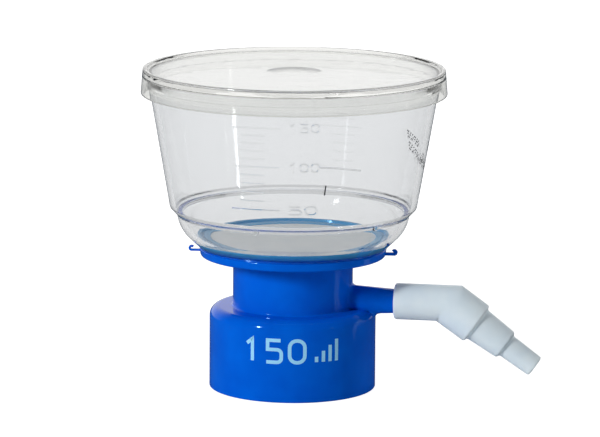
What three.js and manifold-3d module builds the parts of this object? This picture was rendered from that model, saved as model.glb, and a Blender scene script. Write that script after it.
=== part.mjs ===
// Vacuum filtration unit: a clear funnel with its lid, on a one-piece base that screws onto a bottle.
// Millimetres, +Z up. The part stands on the collar's mouth at Z = 0, with the vacuum arm along +X.
// The membrane lies on a ribbed support in the base's dish, held down by the funnel's foot.

import * as THREE from 'three';
import { mergeVertices } from 'three/addons/utils/BufferGeometryUtils.js';
import Module from 'manifold-3d';

const wasm = await Module();
wasm.setup();

// ---------- driving dimensions ----------

const LARGE_SEGMENTS = 48;        // facets round the funnel, lid and base
const SMALL_SEGMENTS = 24;        // facets round the arm and the hose connector
const FINE_ARC_STEPS = 2;         // straight steps in a rounded corner of a small radius
const WIDE_ARC_STEPS = 4;         // straight steps in a rounded corner of a large radius
const WIDE_RADIUS = 1;            // the least large radius
const FIT_GAP = 0.3;              // clearance between pieces that slip into each other

// Collar: screws onto a bottle neck of 45 mm.
const collarRadius = 24.3;
const collarHeight = 24;
const collarWall = 1.6;
const collarShoulderRound = 3;
const collarMouthRound = 0.4;
const collarMouthLead = 0.5;      // widening of the bore at the mouth
const shoulderThickness = 2.2;

// Neck between the collar and the dish.
const neckRadius = 17.5;
const neckLength = 14.95;
const neckWall = 1.8;
const neckFootFillet = 0.65;
const neckHeadFillet = 0.7;

// Dish under the funnel, with the membrane's raised support.
const supportRadius = 25;
const dishBorder = 2;             // width of the dish outside the support
const dishDraft = 0.3;            // the dish is wider at its top by this much
const dishThickness = 2.35;
const dishEdgeRound = 0.7;
const supportRise = 2.1;
const supportLand = 1.1;          // flat border that the membrane is clamped on
const supportEdgeDepth = 0.9;     // depth of the drain floor at the border
const supportDrainDepth = 1.9;    // depth of the drain floor at the drain
const ribRings = 3;
const ribWidth = 1.2;
const channelCount = 8;
const channelWidth = 1.6;
const channelDepth = 0.3;         // grooves in the drain floor
const drainRadius = 2.6;
const spoutWall = 1.4;
const spoutLength = 8;

// Two thin hooked ears at the dish's edge.
const earAzimuth = 5.1;           // degrees from the arm, away from its side of the base
const earWidth = 1.2;
const earThickness = 0.8;
const earReach = 2.4;             // distance of the hook's centre from the dish's edge
const earHookRadius = 0.85;
const earDrop = 1.25;             // the hook's lowest point under the dish's top
const earCornerRound = 0.8;       // rounding of the hook's outer corners
const earTipRound = 0.2;
const earTipDrop = 0.55;          // depth of the hook's tip under its top

// Side arm for the vacuum.
const armRise = 2.3;              // height of the arm's axis above the collar's shoulder
const armRootRadius = 4.3;
const armMiddleRadius = 3.54;
const armTipRadius = 3.4;
const armLength = 41;
const armBoreRadius = 2.2;
const armNeckFlare = 1.2;         // fillet between the arm and the neck
const armCollarFlare = 1.9;       // fillet between the arm and the collar's wall
const armTipChamfer = 0.9;
const plugLength = 8;
const plugSetback = 2;            // the plug's distance from the arm's mouth

// Sealing ring under the collar's ceiling.
const ringThickness = 1.5;
const ringWidth = 5.8;

// Membrane.
const membraneThickness = 0.3;
const membraneMargin = 0.1;       // the membrane is smaller than its support by this much

// Clamp ring: it lies on the membrane's edge and on the funnel's ledge, inside the funnel's wall.
const clampOverlap = 0.6;         // width of the membrane's edge under the ring
const clampInnerThickness = 0.8;
const clampOuterThickness = 1.1;  // the ring's top falls towards the membrane
const clampEdgeRound = 0.2;

// Funnel.
const funnelWall = 1.6;
const funnelFootOverhang = 0.2;   // the foot is wider than the dish by this much
const bowlSpread = 6.25;          // widening of the bowl from its foot to its corner
const bowlCornerHeight = 6.1;     // above the dish's top
const bowlRound = 10.5;
const waistSpread = 0.4;          // widening from the bowl's corner to the waist
const waistHeight = 9.9;          // above the dish's top
const waistRound = 0.5;
const shoulderStep = 2.1;         // widening of the funnel above its waist
const shoulderRise = 2.2;
const shoulderRound = 1;
const shelfDrop = 0.8;            // the shelf inside lies lower than the shoulder's top by this much
const shelfRound = 0.3;
const funnelHeight = 50.3;        // from the dish's top to the rim
const funnelTaper = 0.1725;       // widening of the radius for each mm of height
const beadHeight = 2.6;
const rimRound = 0.4;

// Lid.
const lidPanelThickness = 1.4;
const lidRimRise = 0.9;
const lidRimWidth = 1.1;
const lidSkirtDepth = 5.1;        // from the panel's underside to the skirt's edge
const lidSkirtWall = 1.1;
const lidSkirtFlare = 0.105;      // widening of the skirt for each mm down
const lidEdgeRound = 0.45;
const lidRecessRadius = 7.7;
const lidRecessDepth = 0.4;

// Hose connector on the arm: a socket, a bend and three steps for hoses of different bores.
const socketMouth = 30.2;         // distance of the mouth from the base's axis
const socketRadius = 5.3;
const socketMouthRound = 0.7;
const bendDistance = 46.05;       // distance of the bend's centre from the base's axis
const bendAngle = 35;             // degrees down from the arm
const wideStepRadius = 6.45;
const wideStepEndRadius = 6.35;
const wideStepLength = 10;
const middleStepRadius = 5.15;
const middleStepEndRadius = 4.5;
const middleStepLength = 10.4;
const narrowStepRadius = 3.5;
const narrowStepEndRadius = 3.2;
const narrowStepLength = 10.6;
const stepRound = 0.5;
const connectorBoreRadius = 2.3;
const nozzleTipBore = 1.8;

// ---------- sizes and heights that the pieces share ----------

const nozzleSteps = [
  { start: wideStepRadius, end: wideStepEndRadius, length: wideStepLength },
  { start: middleStepRadius, end: middleStepEndRadius, length: middleStepLength },
  { start: narrowStepRadius, end: narrowStepEndRadius, length: narrowStepLength },
];
const dishRadius = supportRadius + dishBorder;
const supportBorder = supportRadius - supportLand;
const funnelFootRadius = dishRadius + funnelFootOverhang;
const clampWindowRadius = supportRadius - clampOverlap;
const bowlCornerRadius = funnelFootRadius + bowlSpread;
const waistRadius = bowlCornerRadius + waistSpread;

const ceilingZ = collarHeight - shoulderThickness;
const armHeight = collarHeight + armRise;
const dishBottomZ = collarHeight + neckLength;
const dishTopZ = dishBottomZ + dishThickness;
const supportTopZ = dishTopZ + supportRise;
const membraneTopZ = supportTopZ + membraneThickness;
const rimZ = dishTopZ + funnelHeight;
const collarBore = collarRadius - collarWall;
const neckBore = neckRadius - neckWall;
const spoutRadius = drainRadius + spoutWall;
const spoutTipZ = dishBottomZ - spoutLength;

// ---------- shapes ----------

// Corners are [x, y, radius]; each corner with a radius becomes an arc of straight steps.
function rounded(corners) {
  return corners.flatMap(([x, y, radius = 0], index) => {
    const corner = new THREE.Vector2(x, y);
    if (radius === 0) return [corner];
    const [beforeX, beforeY] = corners.at(index - 1);
    const [afterX, afterY] = corners[(index + 1) % corners.length];
    const before = new THREE.Vector2(beforeX, beforeY).sub(corner).normalize();
    const after = new THREE.Vector2(afterX, afterY).sub(corner).normalize();
    const halfAngle = Math.acos(THREE.MathUtils.clamp(before.dot(after), -1, 1)) / 2;
    const bisector = before.clone().add(after).normalize();
    const centre = corner.clone().addScaledVector(bisector, radius / Math.sin(halfAngle));
    const tangent = radius / Math.tan(halfAngle);
    const start = corner.clone().addScaledVector(before, tangent).sub(centre).angle();
    const end = corner.clone().addScaledVector(after, tangent).sub(centre).angle();
    const turn = THREE.MathUtils.euclideanModulo(end - start + Math.PI, 2 * Math.PI) - Math.PI;
    const steps = radius > WIDE_RADIUS ? WIDE_ARC_STEPS : FINE_ARC_STEPS;
    return Array.from({ length: steps + 1 }, (_, step) => {
      const angle = start + (turn * step) / steps;
      return centre.clone().add(new THREE.Vector2(Math.cos(angle), Math.sin(angle)).multiplyScalar(radius));
    });
  });
}

// The same corners moved to the left of their direction by a wall's thickness, and their radii with them.
function inset(corners, wall) {
  const normals = corners.slice(1).map(([x, y], index) => {
    const [fromX, fromY] = corners[index];
    return new THREE.Vector2(fromY - y, x - fromX).normalize();
  });
  return corners.map(([x, y, radius = 0], index) => {
    const before = normals[Math.max(index - 1, 0)];
    const after = normals[Math.min(index, normals.length - 1)];
    const mitre = before.clone().add(after);
    const shift = mitre.multiplyScalar(wall / (1 + before.dot(after)));
    const turnsLeft = before.cross(after) > 0;
    const newRadius = radius === 0 ? 0 : Math.max(radius + (turnsLeft ? -wall : wall), FIT_GAP);
    return [x + shift.x, y + shift.y, newRadius];
  });
}

// The radius at which the line through two corners passes a height.
function radiusAt([fromRadius, fromZ], [toRadius, toZ], z) {
  return THREE.MathUtils.mapLinear(z, fromZ, toZ, fromRadius, toRadius);
}

// Gives a geometry merged corners and faces that point out.
function closed(geometry) {
  geometry.deleteAttribute('normal');
  geometry.deleteAttribute('uv');
  const merged = mergeVertices(geometry, 1e-4);
  const position = merged.attributes.position;
  const corner = [new THREE.Vector3(), new THREE.Vector3(), new THREE.Vector3()];
  const faces = [];
  let volume = 0;
  for (let i = 0; i < merged.index.count; i += 3) {
    const face = [0, 1, 2].map((k) => merged.index.getX(i + k));
    if (new Set(face).size < 3) continue;
    face.forEach((vertex, k) => corner[k].fromBufferAttribute(position, vertex));
    volume += corner[0].dot(corner[1].clone().cross(corner[2]));
    faces.push(face);
  }
  merged.setIndex(faces.flatMap(([a, b, c]) => (volume > 0 ? [a, b, c] : [a, c, b])));
  return merged;
}

// A solid turned about +Z from corners [radius, z, rounding].
function turned(corners, segments = LARGE_SEGMENTS) {
  const points = rounded(corners);
  if (corners[0][0] > 0) points.push(points[0].clone());
  const geometry = new THREE.LatheGeometry(points, segments);
  geometry.rotateX(Math.PI / 2);
  return closed(geometry);
}

// A solid turned about the arm's axis from corners [radius, distance from the base's axis, rounding].
function turnedAlongArm(corners) {
  const geometry = turned(corners, SMALL_SEGMENTS);
  geometry.rotateY(Math.PI / 2);
  geometry.translate(0, 0, armHeight);
  return geometry;
}

// A plate of the given thickness in Y, from an outline in X and Z.
function plate(corners, thickness) {
  const shape = new THREE.Shape(rounded(corners));
  const geometry = new THREE.ExtrudeGeometry(shape, { depth: thickness, bevelEnabled: false });
  geometry.translate(0, 0, -thickness / 2);
  geometry.rotateX(Math.PI / 2);
  return closed(geometry);
}

function toManifold(geometry) {
  const mesh = new wasm.Mesh({
    numProp: 3,
    vertProperties: Float32Array.from(geometry.attributes.position.array),
    triVerts: Uint32Array.from(geometry.index.array),
  });
  return new wasm.Manifold(mesh);
}

function fromManifold(solid) {
  const { vertProperties, triVerts } = solid.getMesh();
  const geometry = new THREE.BufferGeometry();
  geometry.setAttribute('position', new THREE.BufferAttribute(vertProperties, 3));
  geometry.setIndex(new THREE.BufferAttribute(triVerts, 1));
  return geometry;
}

function piece(name, geometry, color, roughness, opacity = 1) {
  geometry.computeVertexNormals();
  const material = new THREE.MeshStandardMaterial({
    color, roughness, metalness: 0, opacity, transparent: opacity < 1,
  });
  const mesh = new THREE.Mesh(geometry, material);
  mesh.name = name;
  return mesh;
}

// ---------- base: dish, neck, collar, arm and ears in one moulding ----------

// Height of the drain floor under the membrane at a distance from the axis.
function drainFloorAt(radius) {
  const slope = (supportDrainDepth - supportEdgeDepth) / (supportBorder - drainRadius);
  return supportTopZ - supportEdgeDepth - slope * (supportBorder - radius);
}

// The support's top from its border to the drain: a sloping floor with rings that carry the membrane.
function supportTop() {
  const pitch = (supportBorder - spoutRadius) / (ribRings + 0.5);
  const rings = Array.from({ length: ribRings }, (_, index) => {
    const outer = supportBorder - (index + 1) * pitch + ribWidth;
    const inner = outer - ribWidth;
    return [
      [outer, drainFloorAt(outer)],
      [outer, supportTopZ],
      [inner, supportTopZ],
      [inner, drainFloorAt(inner)],
    ];
  });
  return [
    [supportBorder, supportTopZ],
    [supportBorder, drainFloorAt(supportBorder)],
    ...rings.flat(),
    [drainRadius, drainFloorAt(drainRadius)],
  ];
}

function baseBody() {
  return turned([
    [collarBore + collarMouthLead, 0],
    [collarRadius, 0, collarMouthRound],
    [collarRadius, collarHeight, collarShoulderRound],
    [neckRadius, collarHeight, neckFootFillet],
    [neckRadius, dishBottomZ, neckHeadFillet],
    [dishRadius, dishBottomZ, dishEdgeRound],
    [dishRadius + dishDraft, dishTopZ],
    [supportRadius, dishTopZ],
    [supportRadius, supportTopZ],
    ...supportTop(),
    [drainRadius, spoutTipZ],
    [spoutRadius, spoutTipZ],
    [spoutRadius, dishBottomZ],
    [neckBore, dishBottomZ],
    [neckBore, ceilingZ],
    [collarBore, ceilingZ],
    [collarBore, collarMouthLead * 2],
  ]);
}

// Grooves that lead the filtrate through the rings to the drain.
function drainChannels() {
  const groove = plate([
    [drainRadius - channelWidth, drainFloorAt(drainRadius) - channelDepth],
    [supportBorder, drainFloorAt(supportBorder) - channelDepth],
    [supportBorder, supportTopZ + channelDepth],
    [drainRadius - channelWidth, supportTopZ + channelDepth],
  ], channelWidth);
  return Array.from({ length: channelCount }, (_, index) => {
    const copy = groove.clone();
    copy.rotateZ((2 * Math.PI * (index + 0.5)) / channelCount);
    return toManifold(copy);
  });
}

// The room for the bottle's neck inside the collar.
function collarRoom() {
  return toManifold(turned([[0, 0], [collarBore, 0], [collarBore, ceilingZ], [0, ceilingZ]]));
}

// The arm from inside the neck's wall to its mouth, kept out of the room for the bottle's neck.
function armSolid() {
  const inside = neckRadius - neckWall / 2;
  const arm = turnedAlongArm([
    [0, inside],
    [armRootRadius, inside],
    [armRootRadius, neckRadius],
    [armMiddleRadius, socketMouth],
    [armTipRadius, armLength, armTipChamfer],
    [0, armLength],
  ]);
  return toManifold(arm).subtract(collarRoom());
}

// A fillet of a size round the arm where it leaves a round wall: its arc ends inside the arm.
function flare(wallRadius, wallThickness, size) {
  const armRadius = radiusAt([armRootRadius, neckRadius], [armMiddleRadius, socketMouth], wallRadius);
  const foot = wallRadius - wallThickness;
  const centreRadius = armRadius + size;
  const centreDistance = wallRadius + size;
  const arc = Array.from({ length: WIDE_ARC_STEPS }, (_, step) => {
    const angle = (Math.PI / 2) * (step / WIDE_ARC_STEPS);
    return [centreRadius - size * Math.sin(angle), centreDistance - size * Math.cos(angle)];
  });
  return turnedAlongArm([
    [0, foot],
    [centreRadius, foot],
    ...arc,
    [armRadius / 2, centreDistance],
    [0, centreDistance],
  ]);
}

// Everything above a height, to trim the flares at the shoulder.
function spaceAbove(z) {
  const size = 4 * collarRadius;
  const block = new THREE.BoxGeometry(size, size, size);
  block.translate(0, 0, z + size / 2);
  return toManifold(closed(block));
}

// A thin arm that curls up at its end, drawn in the plane through the axis.
function ear(azimuth) {
  const bottom = dishTopZ - earDrop;
  const top = bottom + 2 * earHookRadius;
  const root = dishRadius - dishBorder / 2;
  const hookEnd = dishRadius + earReach + earHookRadius;
  const hookInside = hookEnd - earThickness;
  const tip = hookEnd - 2 * earHookRadius + earTipRound;
  const hook = plate([
    [root, bottom],
    [hookEnd, bottom, earCornerRound],
    [hookEnd, top, earCornerRound],
    [tip, top, earTipRound],
    [tip, top - earTipDrop, earTipRound],
    [hookInside, top - earTipDrop, earTipRound],
    [hookInside, bottom + earThickness, earTipRound],
    [root, bottom + earThickness],
  ], earWidth);
  hook.rotateZ(THREE.MathUtils.degToRad(azimuth));
  return toManifold(hook);
}

function baseAdapter() {
  let solid = toManifold(baseBody());
  solid = solid.add(armSolid());
  const neckFlare = toManifold(flare(neckRadius, neckWall / 2, armNeckFlare));
  const collarFlare = toManifold(flare(collarRadius, collarWall / 2, armCollarFlare));
  solid = solid.add(neckFlare.intersect(spaceAbove(collarHeight - shoulderThickness / 2)));
  solid = solid.add(collarFlare.subtract(spaceAbove(collarHeight - collarShoulderRound / 2)));
  solid = solid.add(ear(earAzimuth)).add(ear(earAzimuth + 180));
  for (const channel of drainChannels()) solid = solid.subtract(channel);
  const bore = turnedAlongArm([
    [0, neckBore - neckWall],
    [armBoreRadius, neckBore - neckWall],
    [armBoreRadius, armLength + neckWall],
    [0, armLength + neckWall],
  ]);
  return fromManifold(solid.subtract(toManifold(bore)));
}

// ---------- the other pieces ----------

function sealingRing() {
  const outer = collarBore - FIT_GAP;
  return turned([
    [outer - ringWidth, ceilingZ - ringThickness],
    [outer, ceilingZ - ringThickness],
    [outer, ceilingZ],
    [outer - ringWidth, ceilingZ],
  ]);
}

function sideArmPlug() {
  const radius = armBoreRadius - FIT_GAP;
  const end = armLength - plugSetback;
  return turnedAlongArm([[0, end - plugLength], [radius, end - plugLength], [radius, end], [0, end]]);
}

function membrane() {
  const radius = supportRadius - membraneMargin;
  return turned([[0, supportTopZ], [radius, supportTopZ], [radius, membraneTopZ], [0, membraneTopZ]]);
}

function funnelRadiusAt(z) {
  return waistRadius + shoulderStep + (z - dishTopZ - waistHeight - shoulderRise) * funnelTaper;
}

function lidBore() {
  return funnelRadiusAt(rimZ) + FIT_GAP;
}

function funnelOutside() {
  return [
    [funnelFootRadius, dishTopZ],
    [bowlCornerRadius, dishTopZ + bowlCornerHeight, bowlRound],
    [waistRadius, dishTopZ + waistHeight, waistRound],
    [waistRadius + shoulderStep, dishTopZ + waistHeight + shoulderRise, shoulderRound],
    [funnelRadiusAt(rimZ), rimZ],
  ];
}

// The clamp ring's outside follows the bowl's slope.
function clampRing() {
  const [foot, corner] = inset(funnelOutside(), funnelWall);
  const edgeZ = membraneTopZ + clampOuterThickness;
  return turned([
    [clampWindowRadius, membraneTopZ],
    [radiusAt(foot, corner, membraneTopZ) - FIT_GAP, membraneTopZ],
    [radiusAt(foot, corner, edgeZ) - FIT_GAP, edgeZ, clampEdgeRound],
    [clampWindowRadius, membraneTopZ + clampInnerThickness, clampEdgeRound],
  ]);
}

function funnel() {
  const beadZ = rimZ - beadHeight;
  const outer = funnelOutside();
  const [foot, corner, waist, shoulder, rim] = inset(outer, funnelWall);
  const shelfZ = dishTopZ + waistHeight + shoulderRise - shelfDrop;
  return turned([
    [supportRadius + FIT_GAP, dishTopZ],
    ...outer.slice(0, -1),
    [funnelRadiusAt(beadZ), beadZ],
    [lidBore() - FIT_GAP, beadZ],
    [lidBore() - FIT_GAP, rimZ, rimRound],
    [funnelRadiusAt(rimZ) - funnelWall, rimZ, rimRound],
    [radiusAt(shoulder, rim, shelfZ), shelfZ, shelfRound],
    [radiusAt(corner, waist, shelfZ), shelfZ, shelfRound],
    corner,
    [radiusAt(foot, corner, membraneTopZ), membraneTopZ],
    [supportRadius + FIT_GAP, membraneTopZ],
  ]);
}

function lid() {
  const panelZ = rimZ + lidPanelThickness;
  const topZ = panelZ + lidRimRise;
  const edgeZ = rimZ - lidSkirtDepth;
  const skirtTop = lidBore() + lidSkirtWall - lidRimRise * lidSkirtFlare;
  const skirtInner = lidBore() + lidSkirtDepth * lidSkirtFlare;
  return turned([
    [0, panelZ - lidRecessDepth],
    [lidRecessRadius, panelZ - lidRecessDepth],
    [lidRecessRadius + lidRecessDepth, panelZ],
    [skirtTop - lidRimWidth - lidRimRise / 2, panelZ],
    [skirtTop - lidRimWidth, topZ],
    [skirtTop, topZ, lidEdgeRound],
    [skirtInner + lidSkirtWall, edgeZ, lidEdgeRound],
    [skirtInner, edgeZ, lidEdgeRound],
    [lidBore(), rimZ],
    [0, rimZ],
  ]);
}

// A tube from rings of points: each ring is a centre, two half-axes, and the directions that they lie along.
function tubeThroughRings(rings) {
  const positions = rings.flatMap(({ centre, up, rise, width }) =>
    Array.from({ length: SMALL_SEGMENTS }, (_, index) => {
      const angle = (2 * Math.PI * index) / SMALL_SEGMENTS;
      const point = centre.clone().addScaledVector(up, rise * Math.sin(angle));
      return [point.x, point.y + width * Math.cos(angle), point.z];
    }).flat());
  const faces = rings.flatMap((_, ring) => {
    const next = (ring + 1) % rings.length;
    return Array.from({ length: SMALL_SEGMENTS }, (__, index) => {
      const a = ring * SMALL_SEGMENTS + index;
      const b = ring * SMALL_SEGMENTS + ((index + 1) % SMALL_SEGMENTS);
      const c = next * SMALL_SEGMENTS + ((index + 1) % SMALL_SEGMENTS);
      const d = next * SMALL_SEGMENTS + index;
      return [a, b, c, a, c, d];
    }).flat();
  });
  const geometry = new THREE.BufferGeometry();
  geometry.setAttribute('position', new THREE.Float32BufferAttribute(positions, 3));
  geometry.setIndex(faces);
  return closed(geometry);
}

function hoseConnector() {
  const bend = THREE.MathUtils.degToRad(bendAngle);
  const bendCentre = new THREE.Vector3(bendDistance, 0, armHeight);
  const nozzleAxis = new THREE.Vector3(Math.cos(bend), 0, -Math.sin(bend));
  const nozzleUp = new THREE.Vector3(Math.sin(bend), 0, Math.cos(bend));
  const alongArm = (distance, radius) => ({
    centre: new THREE.Vector3(distance, 0, armHeight),
    up: new THREE.Vector3(0, 0, 1),
    rise: radius,
    width: radius,
  });
  const alongNozzle = (distance, rise, width = rise) => ({
    centre: bendCentre.clone().addScaledVector(nozzleAxis, distance),
    up: nozzleUp,
    rise,
    width,
  });

  // The bend's ring lies square to the nozzle, so the socket meets it in an ellipse.
  const bendRise = socketRadius / Math.cos(bend);
  const mouthCorner = rounded([
    [socketMouth, armTipRadius + FIT_GAP],
    [socketMouth, socketRadius, socketMouthRound],
    [bendDistance, socketRadius],
  ]).slice(1, -1);
  const outer = mouthCorner.map(({ x, y }) => alongArm(x, y));
  outer.push(alongNozzle(0, bendRise, socketRadius));

  // The first step grows from the bend's ellipse to a circle; each ledge is a rounded corner.
  const profile = [];
  let distance = 0;
  nozzleSteps.forEach(({ start, end, length }, index) => {
    const next = nozzleSteps[index + 1];
    if (index > 0) profile.push([distance, start, stepRound]);
    distance += length;
    profile.push([distance, end, stepRound]);
    if (!next) profile.push([distance, nozzleTipBore]);
  });
  const [firstStep] = nozzleSteps;
  const steps = rounded([[0, firstStep.start], ...profile]).slice(1);
  steps.forEach(({ x, y }) => outer.push(alongNozzle(x, y)));

  const socketBore = armMiddleRadius + FIT_GAP;
  const socketEnd = armLength + FIT_GAP;
  const inner = [
    alongNozzle(0, connectorBoreRadius / Math.cos(bend), connectorBoreRadius),
    alongArm(socketEnd, connectorBoreRadius),
    alongArm(socketEnd, armTipRadius + FIT_GAP),
    alongArm(socketMouth, socketBore),
  ];
  return tubeThroughRings([...outer, ...inner]);
}

// ---------- assembly ----------

const assembly = new THREE.Group();
assembly.add(
  piece('base_adapter', baseAdapter(), 0x0055d0, 0.3),
  piece('sealing_ring', sealingRing(), 0xe6e6e2, 0.7),
  piece('side_arm_plug', sideArmPlug(), 0xf6f6f2, 0.95),
  piece('membrane', membrane(), 0xf2f4f5, 0.8),
  piece('clamp_ring', clampRing(), 0x0055d0, 0.3),
  piece('funnel', funnel(), 0xe8ecee, 0.08, 0.25),
  piece('lid', lid(), 0xeeeeea, 0.08, 0.25),
  piece('hose_connector', hoseConnector(), 0xdde4e8, 0.45),
);

// The origin is the centre of the whole part's footprint, at the collar's mouth.
const footprint = new THREE.Box3().setFromObject(assembly, true).getCenter(new THREE.Vector3());
assembly.position.set(-footprint.x, -footprint.y, 0);

export default assembly;
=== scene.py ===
"""Vacuum filtration unit: its moulded plastics and its studio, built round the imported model.

Sizes are in millimetres and turn into metres where a mesh is made. Blender's +Z is up and the
side arm lies along +X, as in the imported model.
"""

import logging
import math
from dataclasses import dataclass, field, replace
from enum import Enum
from typing import Any, Callable, Iterable, Mapping, Sequence

import bmesh
import bpy
from mathutils import Matrix, Vector


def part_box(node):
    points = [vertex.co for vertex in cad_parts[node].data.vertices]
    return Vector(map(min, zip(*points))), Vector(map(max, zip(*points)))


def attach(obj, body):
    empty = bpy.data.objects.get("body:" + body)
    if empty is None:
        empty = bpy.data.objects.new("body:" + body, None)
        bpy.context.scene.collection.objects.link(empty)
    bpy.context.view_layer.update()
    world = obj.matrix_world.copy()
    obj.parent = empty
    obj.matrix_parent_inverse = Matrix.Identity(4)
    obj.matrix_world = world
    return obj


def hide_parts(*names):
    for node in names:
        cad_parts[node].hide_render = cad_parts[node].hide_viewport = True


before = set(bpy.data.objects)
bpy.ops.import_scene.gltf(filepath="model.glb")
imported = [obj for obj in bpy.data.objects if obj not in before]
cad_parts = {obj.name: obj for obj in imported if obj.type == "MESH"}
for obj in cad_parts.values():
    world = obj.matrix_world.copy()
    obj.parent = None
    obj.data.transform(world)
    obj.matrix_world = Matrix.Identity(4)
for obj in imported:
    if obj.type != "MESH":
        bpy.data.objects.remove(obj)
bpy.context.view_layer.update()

log = logging.getLogger("filtration_unit")

MM = 0.001
ROUND_SEGMENTS = 192  # round the funnel, the lid and the base
SMALL_SEGMENTS = 96  # round the side arm and the hose connector
ARC_STEP = math.radians(9)  # the most that a rounding turns from one point to the next
SHARP_ANGLE = math.radians(32)  # edges that turn more than this stay sharp
SHADING_WEIGHT = 60  # how strongly the larger faces set the shading, of 100
TINY = 1e-6
NOISE_REACH = {"From Min": 0.3, "From Max": 0.7}  # soft noise seldom leaves this range
SMOOTH = {"interpolation_type": "SMOOTHSTEP"}

Point = tuple[float, float]
Corner = tuple[float, float, float]
Colour = tuple[float, float, float, float]


class Body(Enum):
    """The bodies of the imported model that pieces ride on."""

    UNIT = "filter_unit"
    CONNECTOR = "connector"


class Slot(Enum):
    """The record's material slots."""

    BLUE = "blue_base"
    SEAL = "soft_seal"
    COTTON = "cotton"
    MEMBRANE = "membrane"
    FUNNEL = "clear_funnel"
    LID = "clear_lid"
    CONNECTOR = "white_connector"


class Carving(Enum):
    """What a boolean does with its tool."""

    ADD = "UNION"
    REMOVE = "DIFFERENCE"


# ---------- outlines ----------


def rounded(corners: Sequence[Corner], arc_step: float = ARC_STEP) -> list[Point]:
    """Turns each corner that has a rounding into an arc.

    Args:
        corners: x, y and rounding radius of each corner, in millimetres, in order.
        arc_step: the most that an arc turns between two points, in radians.

    Returns:
        The outline's points.
    """
    points: list[Point] = []
    for index, (x, y, radius) in enumerate(corners):
        corner = Vector((x, y))
        if radius < TINY:
            points.append((x, y))
            continue
        before = (Vector(corners[index - 1][:2]) - corner).normalized()
        after = (Vector(corners[(index + 1) % len(corners)][:2]) - corner).normalized()
        half = before.angle(after) / 2
        centre = corner + (before + after).normalized() * (radius / math.sin(half))
        tangent = radius / math.tan(half)
        first = corner + before * tangent - centre
        last = corner + after * tangent - centre
        start = math.atan2(first.y, first.x)
        turn = (math.atan2(last.y, last.x) - start + math.pi) % (2 * math.pi) - math.pi
        steps = max(2, math.ceil(abs(turn) / arc_step))
        for step in range(steps + 1):
            angle = start + turn * step / steps
            points.append((centre.x + radius * math.cos(angle), centre.y + radius * math.sin(angle)))
    return points


def inset(corners: Sequence[Corner], wall: float) -> list[Corner]:
    """Moves an open run of corners to the left of its direction by a wall's thickness.

    Args:
        corners: the outer corners, with their roundings.
        wall: the wall's thickness.

    Returns:
        The inner corners, each with its rounding kept in step with the outer one.
    """
    least_round = 0.3
    normals = [
        Vector((y0 - y1, x1 - x0)).normalized()
        for (x0, y0, _), (x1, y1, _) in zip(corners, corners[1:])
    ]
    moved: list[Corner] = []
    for index, (x, y, radius) in enumerate(corners):
        before = normals[max(index - 1, 0)]
        after = normals[min(index, len(normals) - 1)]
        shift = (before + after) * (wall / (1 + before.dot(after)))
        turns_left = before.x * after.y - before.y * after.x > 0
        kept = 0.0 if radius < TINY else max(radius + (-wall if turns_left else wall), least_round)
        moved.append((x + shift.x, y + shift.y, kept))
    return moved


def radius_at(start: Corner, end: Corner, height: float) -> float:
    """The radius at a height on the straight line through two corners."""
    return start[0] + (end[0] - start[0]) * (height - start[1]) / (end[1] - start[1])


def between(start: Corner, end: Corner, count: int) -> list[Corner]:
    """Spaces points evenly on the straight run between two corners.

    Args:
        start: the corner that the run leaves.
        end: the corner that it reaches.
        count: how many points it takes.

    Returns:
        The points, without the two corners and without roundings.
    """
    return [
        (
            start[0] + (end[0] - start[0]) * step / (count + 1),
            start[1] + (end[1] - start[1]) * step / (count + 1),
            0.0,
        )
        for step in range(1, count + 1)
    ]


# ---------- closed surfaces ----------


@dataclass
class Shell:
    """One or more closed surfaces, in millimetres."""

    points: list[Vector]
    faces: list[tuple[int, ...]]

    def moved(self, matrix: Matrix) -> "Shell":
        """The shell after a move or a turn."""
        return Shell([matrix @ point for point in self.points], self.faces)

    def joined(self, others: Iterable["Shell"]) -> "Shell":
        """The shell together with others, each still closed by itself.

        Args:
            others: the shells to add.

        Returns:
            One shell that holds them all.
        """
        points = list(self.points)
        faces = list(self.faces)
        for other in others:
            first = len(points)
            points += other.points
            faces += [tuple(first + index for index in face) for face in other.faces]
        return Shell(points, faces)

    def mesh(self, name: str) -> bpy.types.Mesh:
        """Turns the shell into a mesh whose faces point out.

        Args:
            name: the mesh's name.

        Returns:
            The mesh, in metres.
        """
        mesh = bpy.data.meshes.new(name)
        mesh.from_pydata([point * MM for point in self.points], [], self.faces)
        work = bmesh.new()
        work.from_mesh(mesh)
        bmesh.ops.recalc_face_normals(work, faces=work.faces)
        work.to_mesh(mesh)
        work.free()
        return mesh


def turned(outline: Sequence[Point], segments: int = ROUND_SEGMENTS) -> Shell:
    """Turns an outline about +Z.

    Args:
        outline: radius and height of each point. It starts and ends on the axis, or closes on itself.
        segments: the number of steps round the axis.

    Returns:
        The closed shell.
    """
    points: list[Vector] = []
    rings: list[list[int]] = []
    for radius, height in outline:
        if radius < TINY:
            rings.append([len(points)])
            points.append(Vector((0, 0, height)))
            continue
        rings.append(list(range(len(points), len(points) + segments)))
        for step in range(segments):
            angle = 2 * math.pi * step / segments
            points.append(Vector((radius * math.cos(angle), radius * math.sin(angle), height)))
    faces: list[tuple[int, ...]] = []
    for low, high in zip(rings, rings[1:] + rings[:1]):
        for step in range(segments):
            after = (step + 1) % segments
            corners = [
                low[step % len(low)], low[after % len(low)],
                high[after % len(high)], high[step % len(high)],
            ]
            face = tuple(dict.fromkeys(corners))
            if len(face) > 2:
                faces.append(face)
    return Shell(points, faces)


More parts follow.
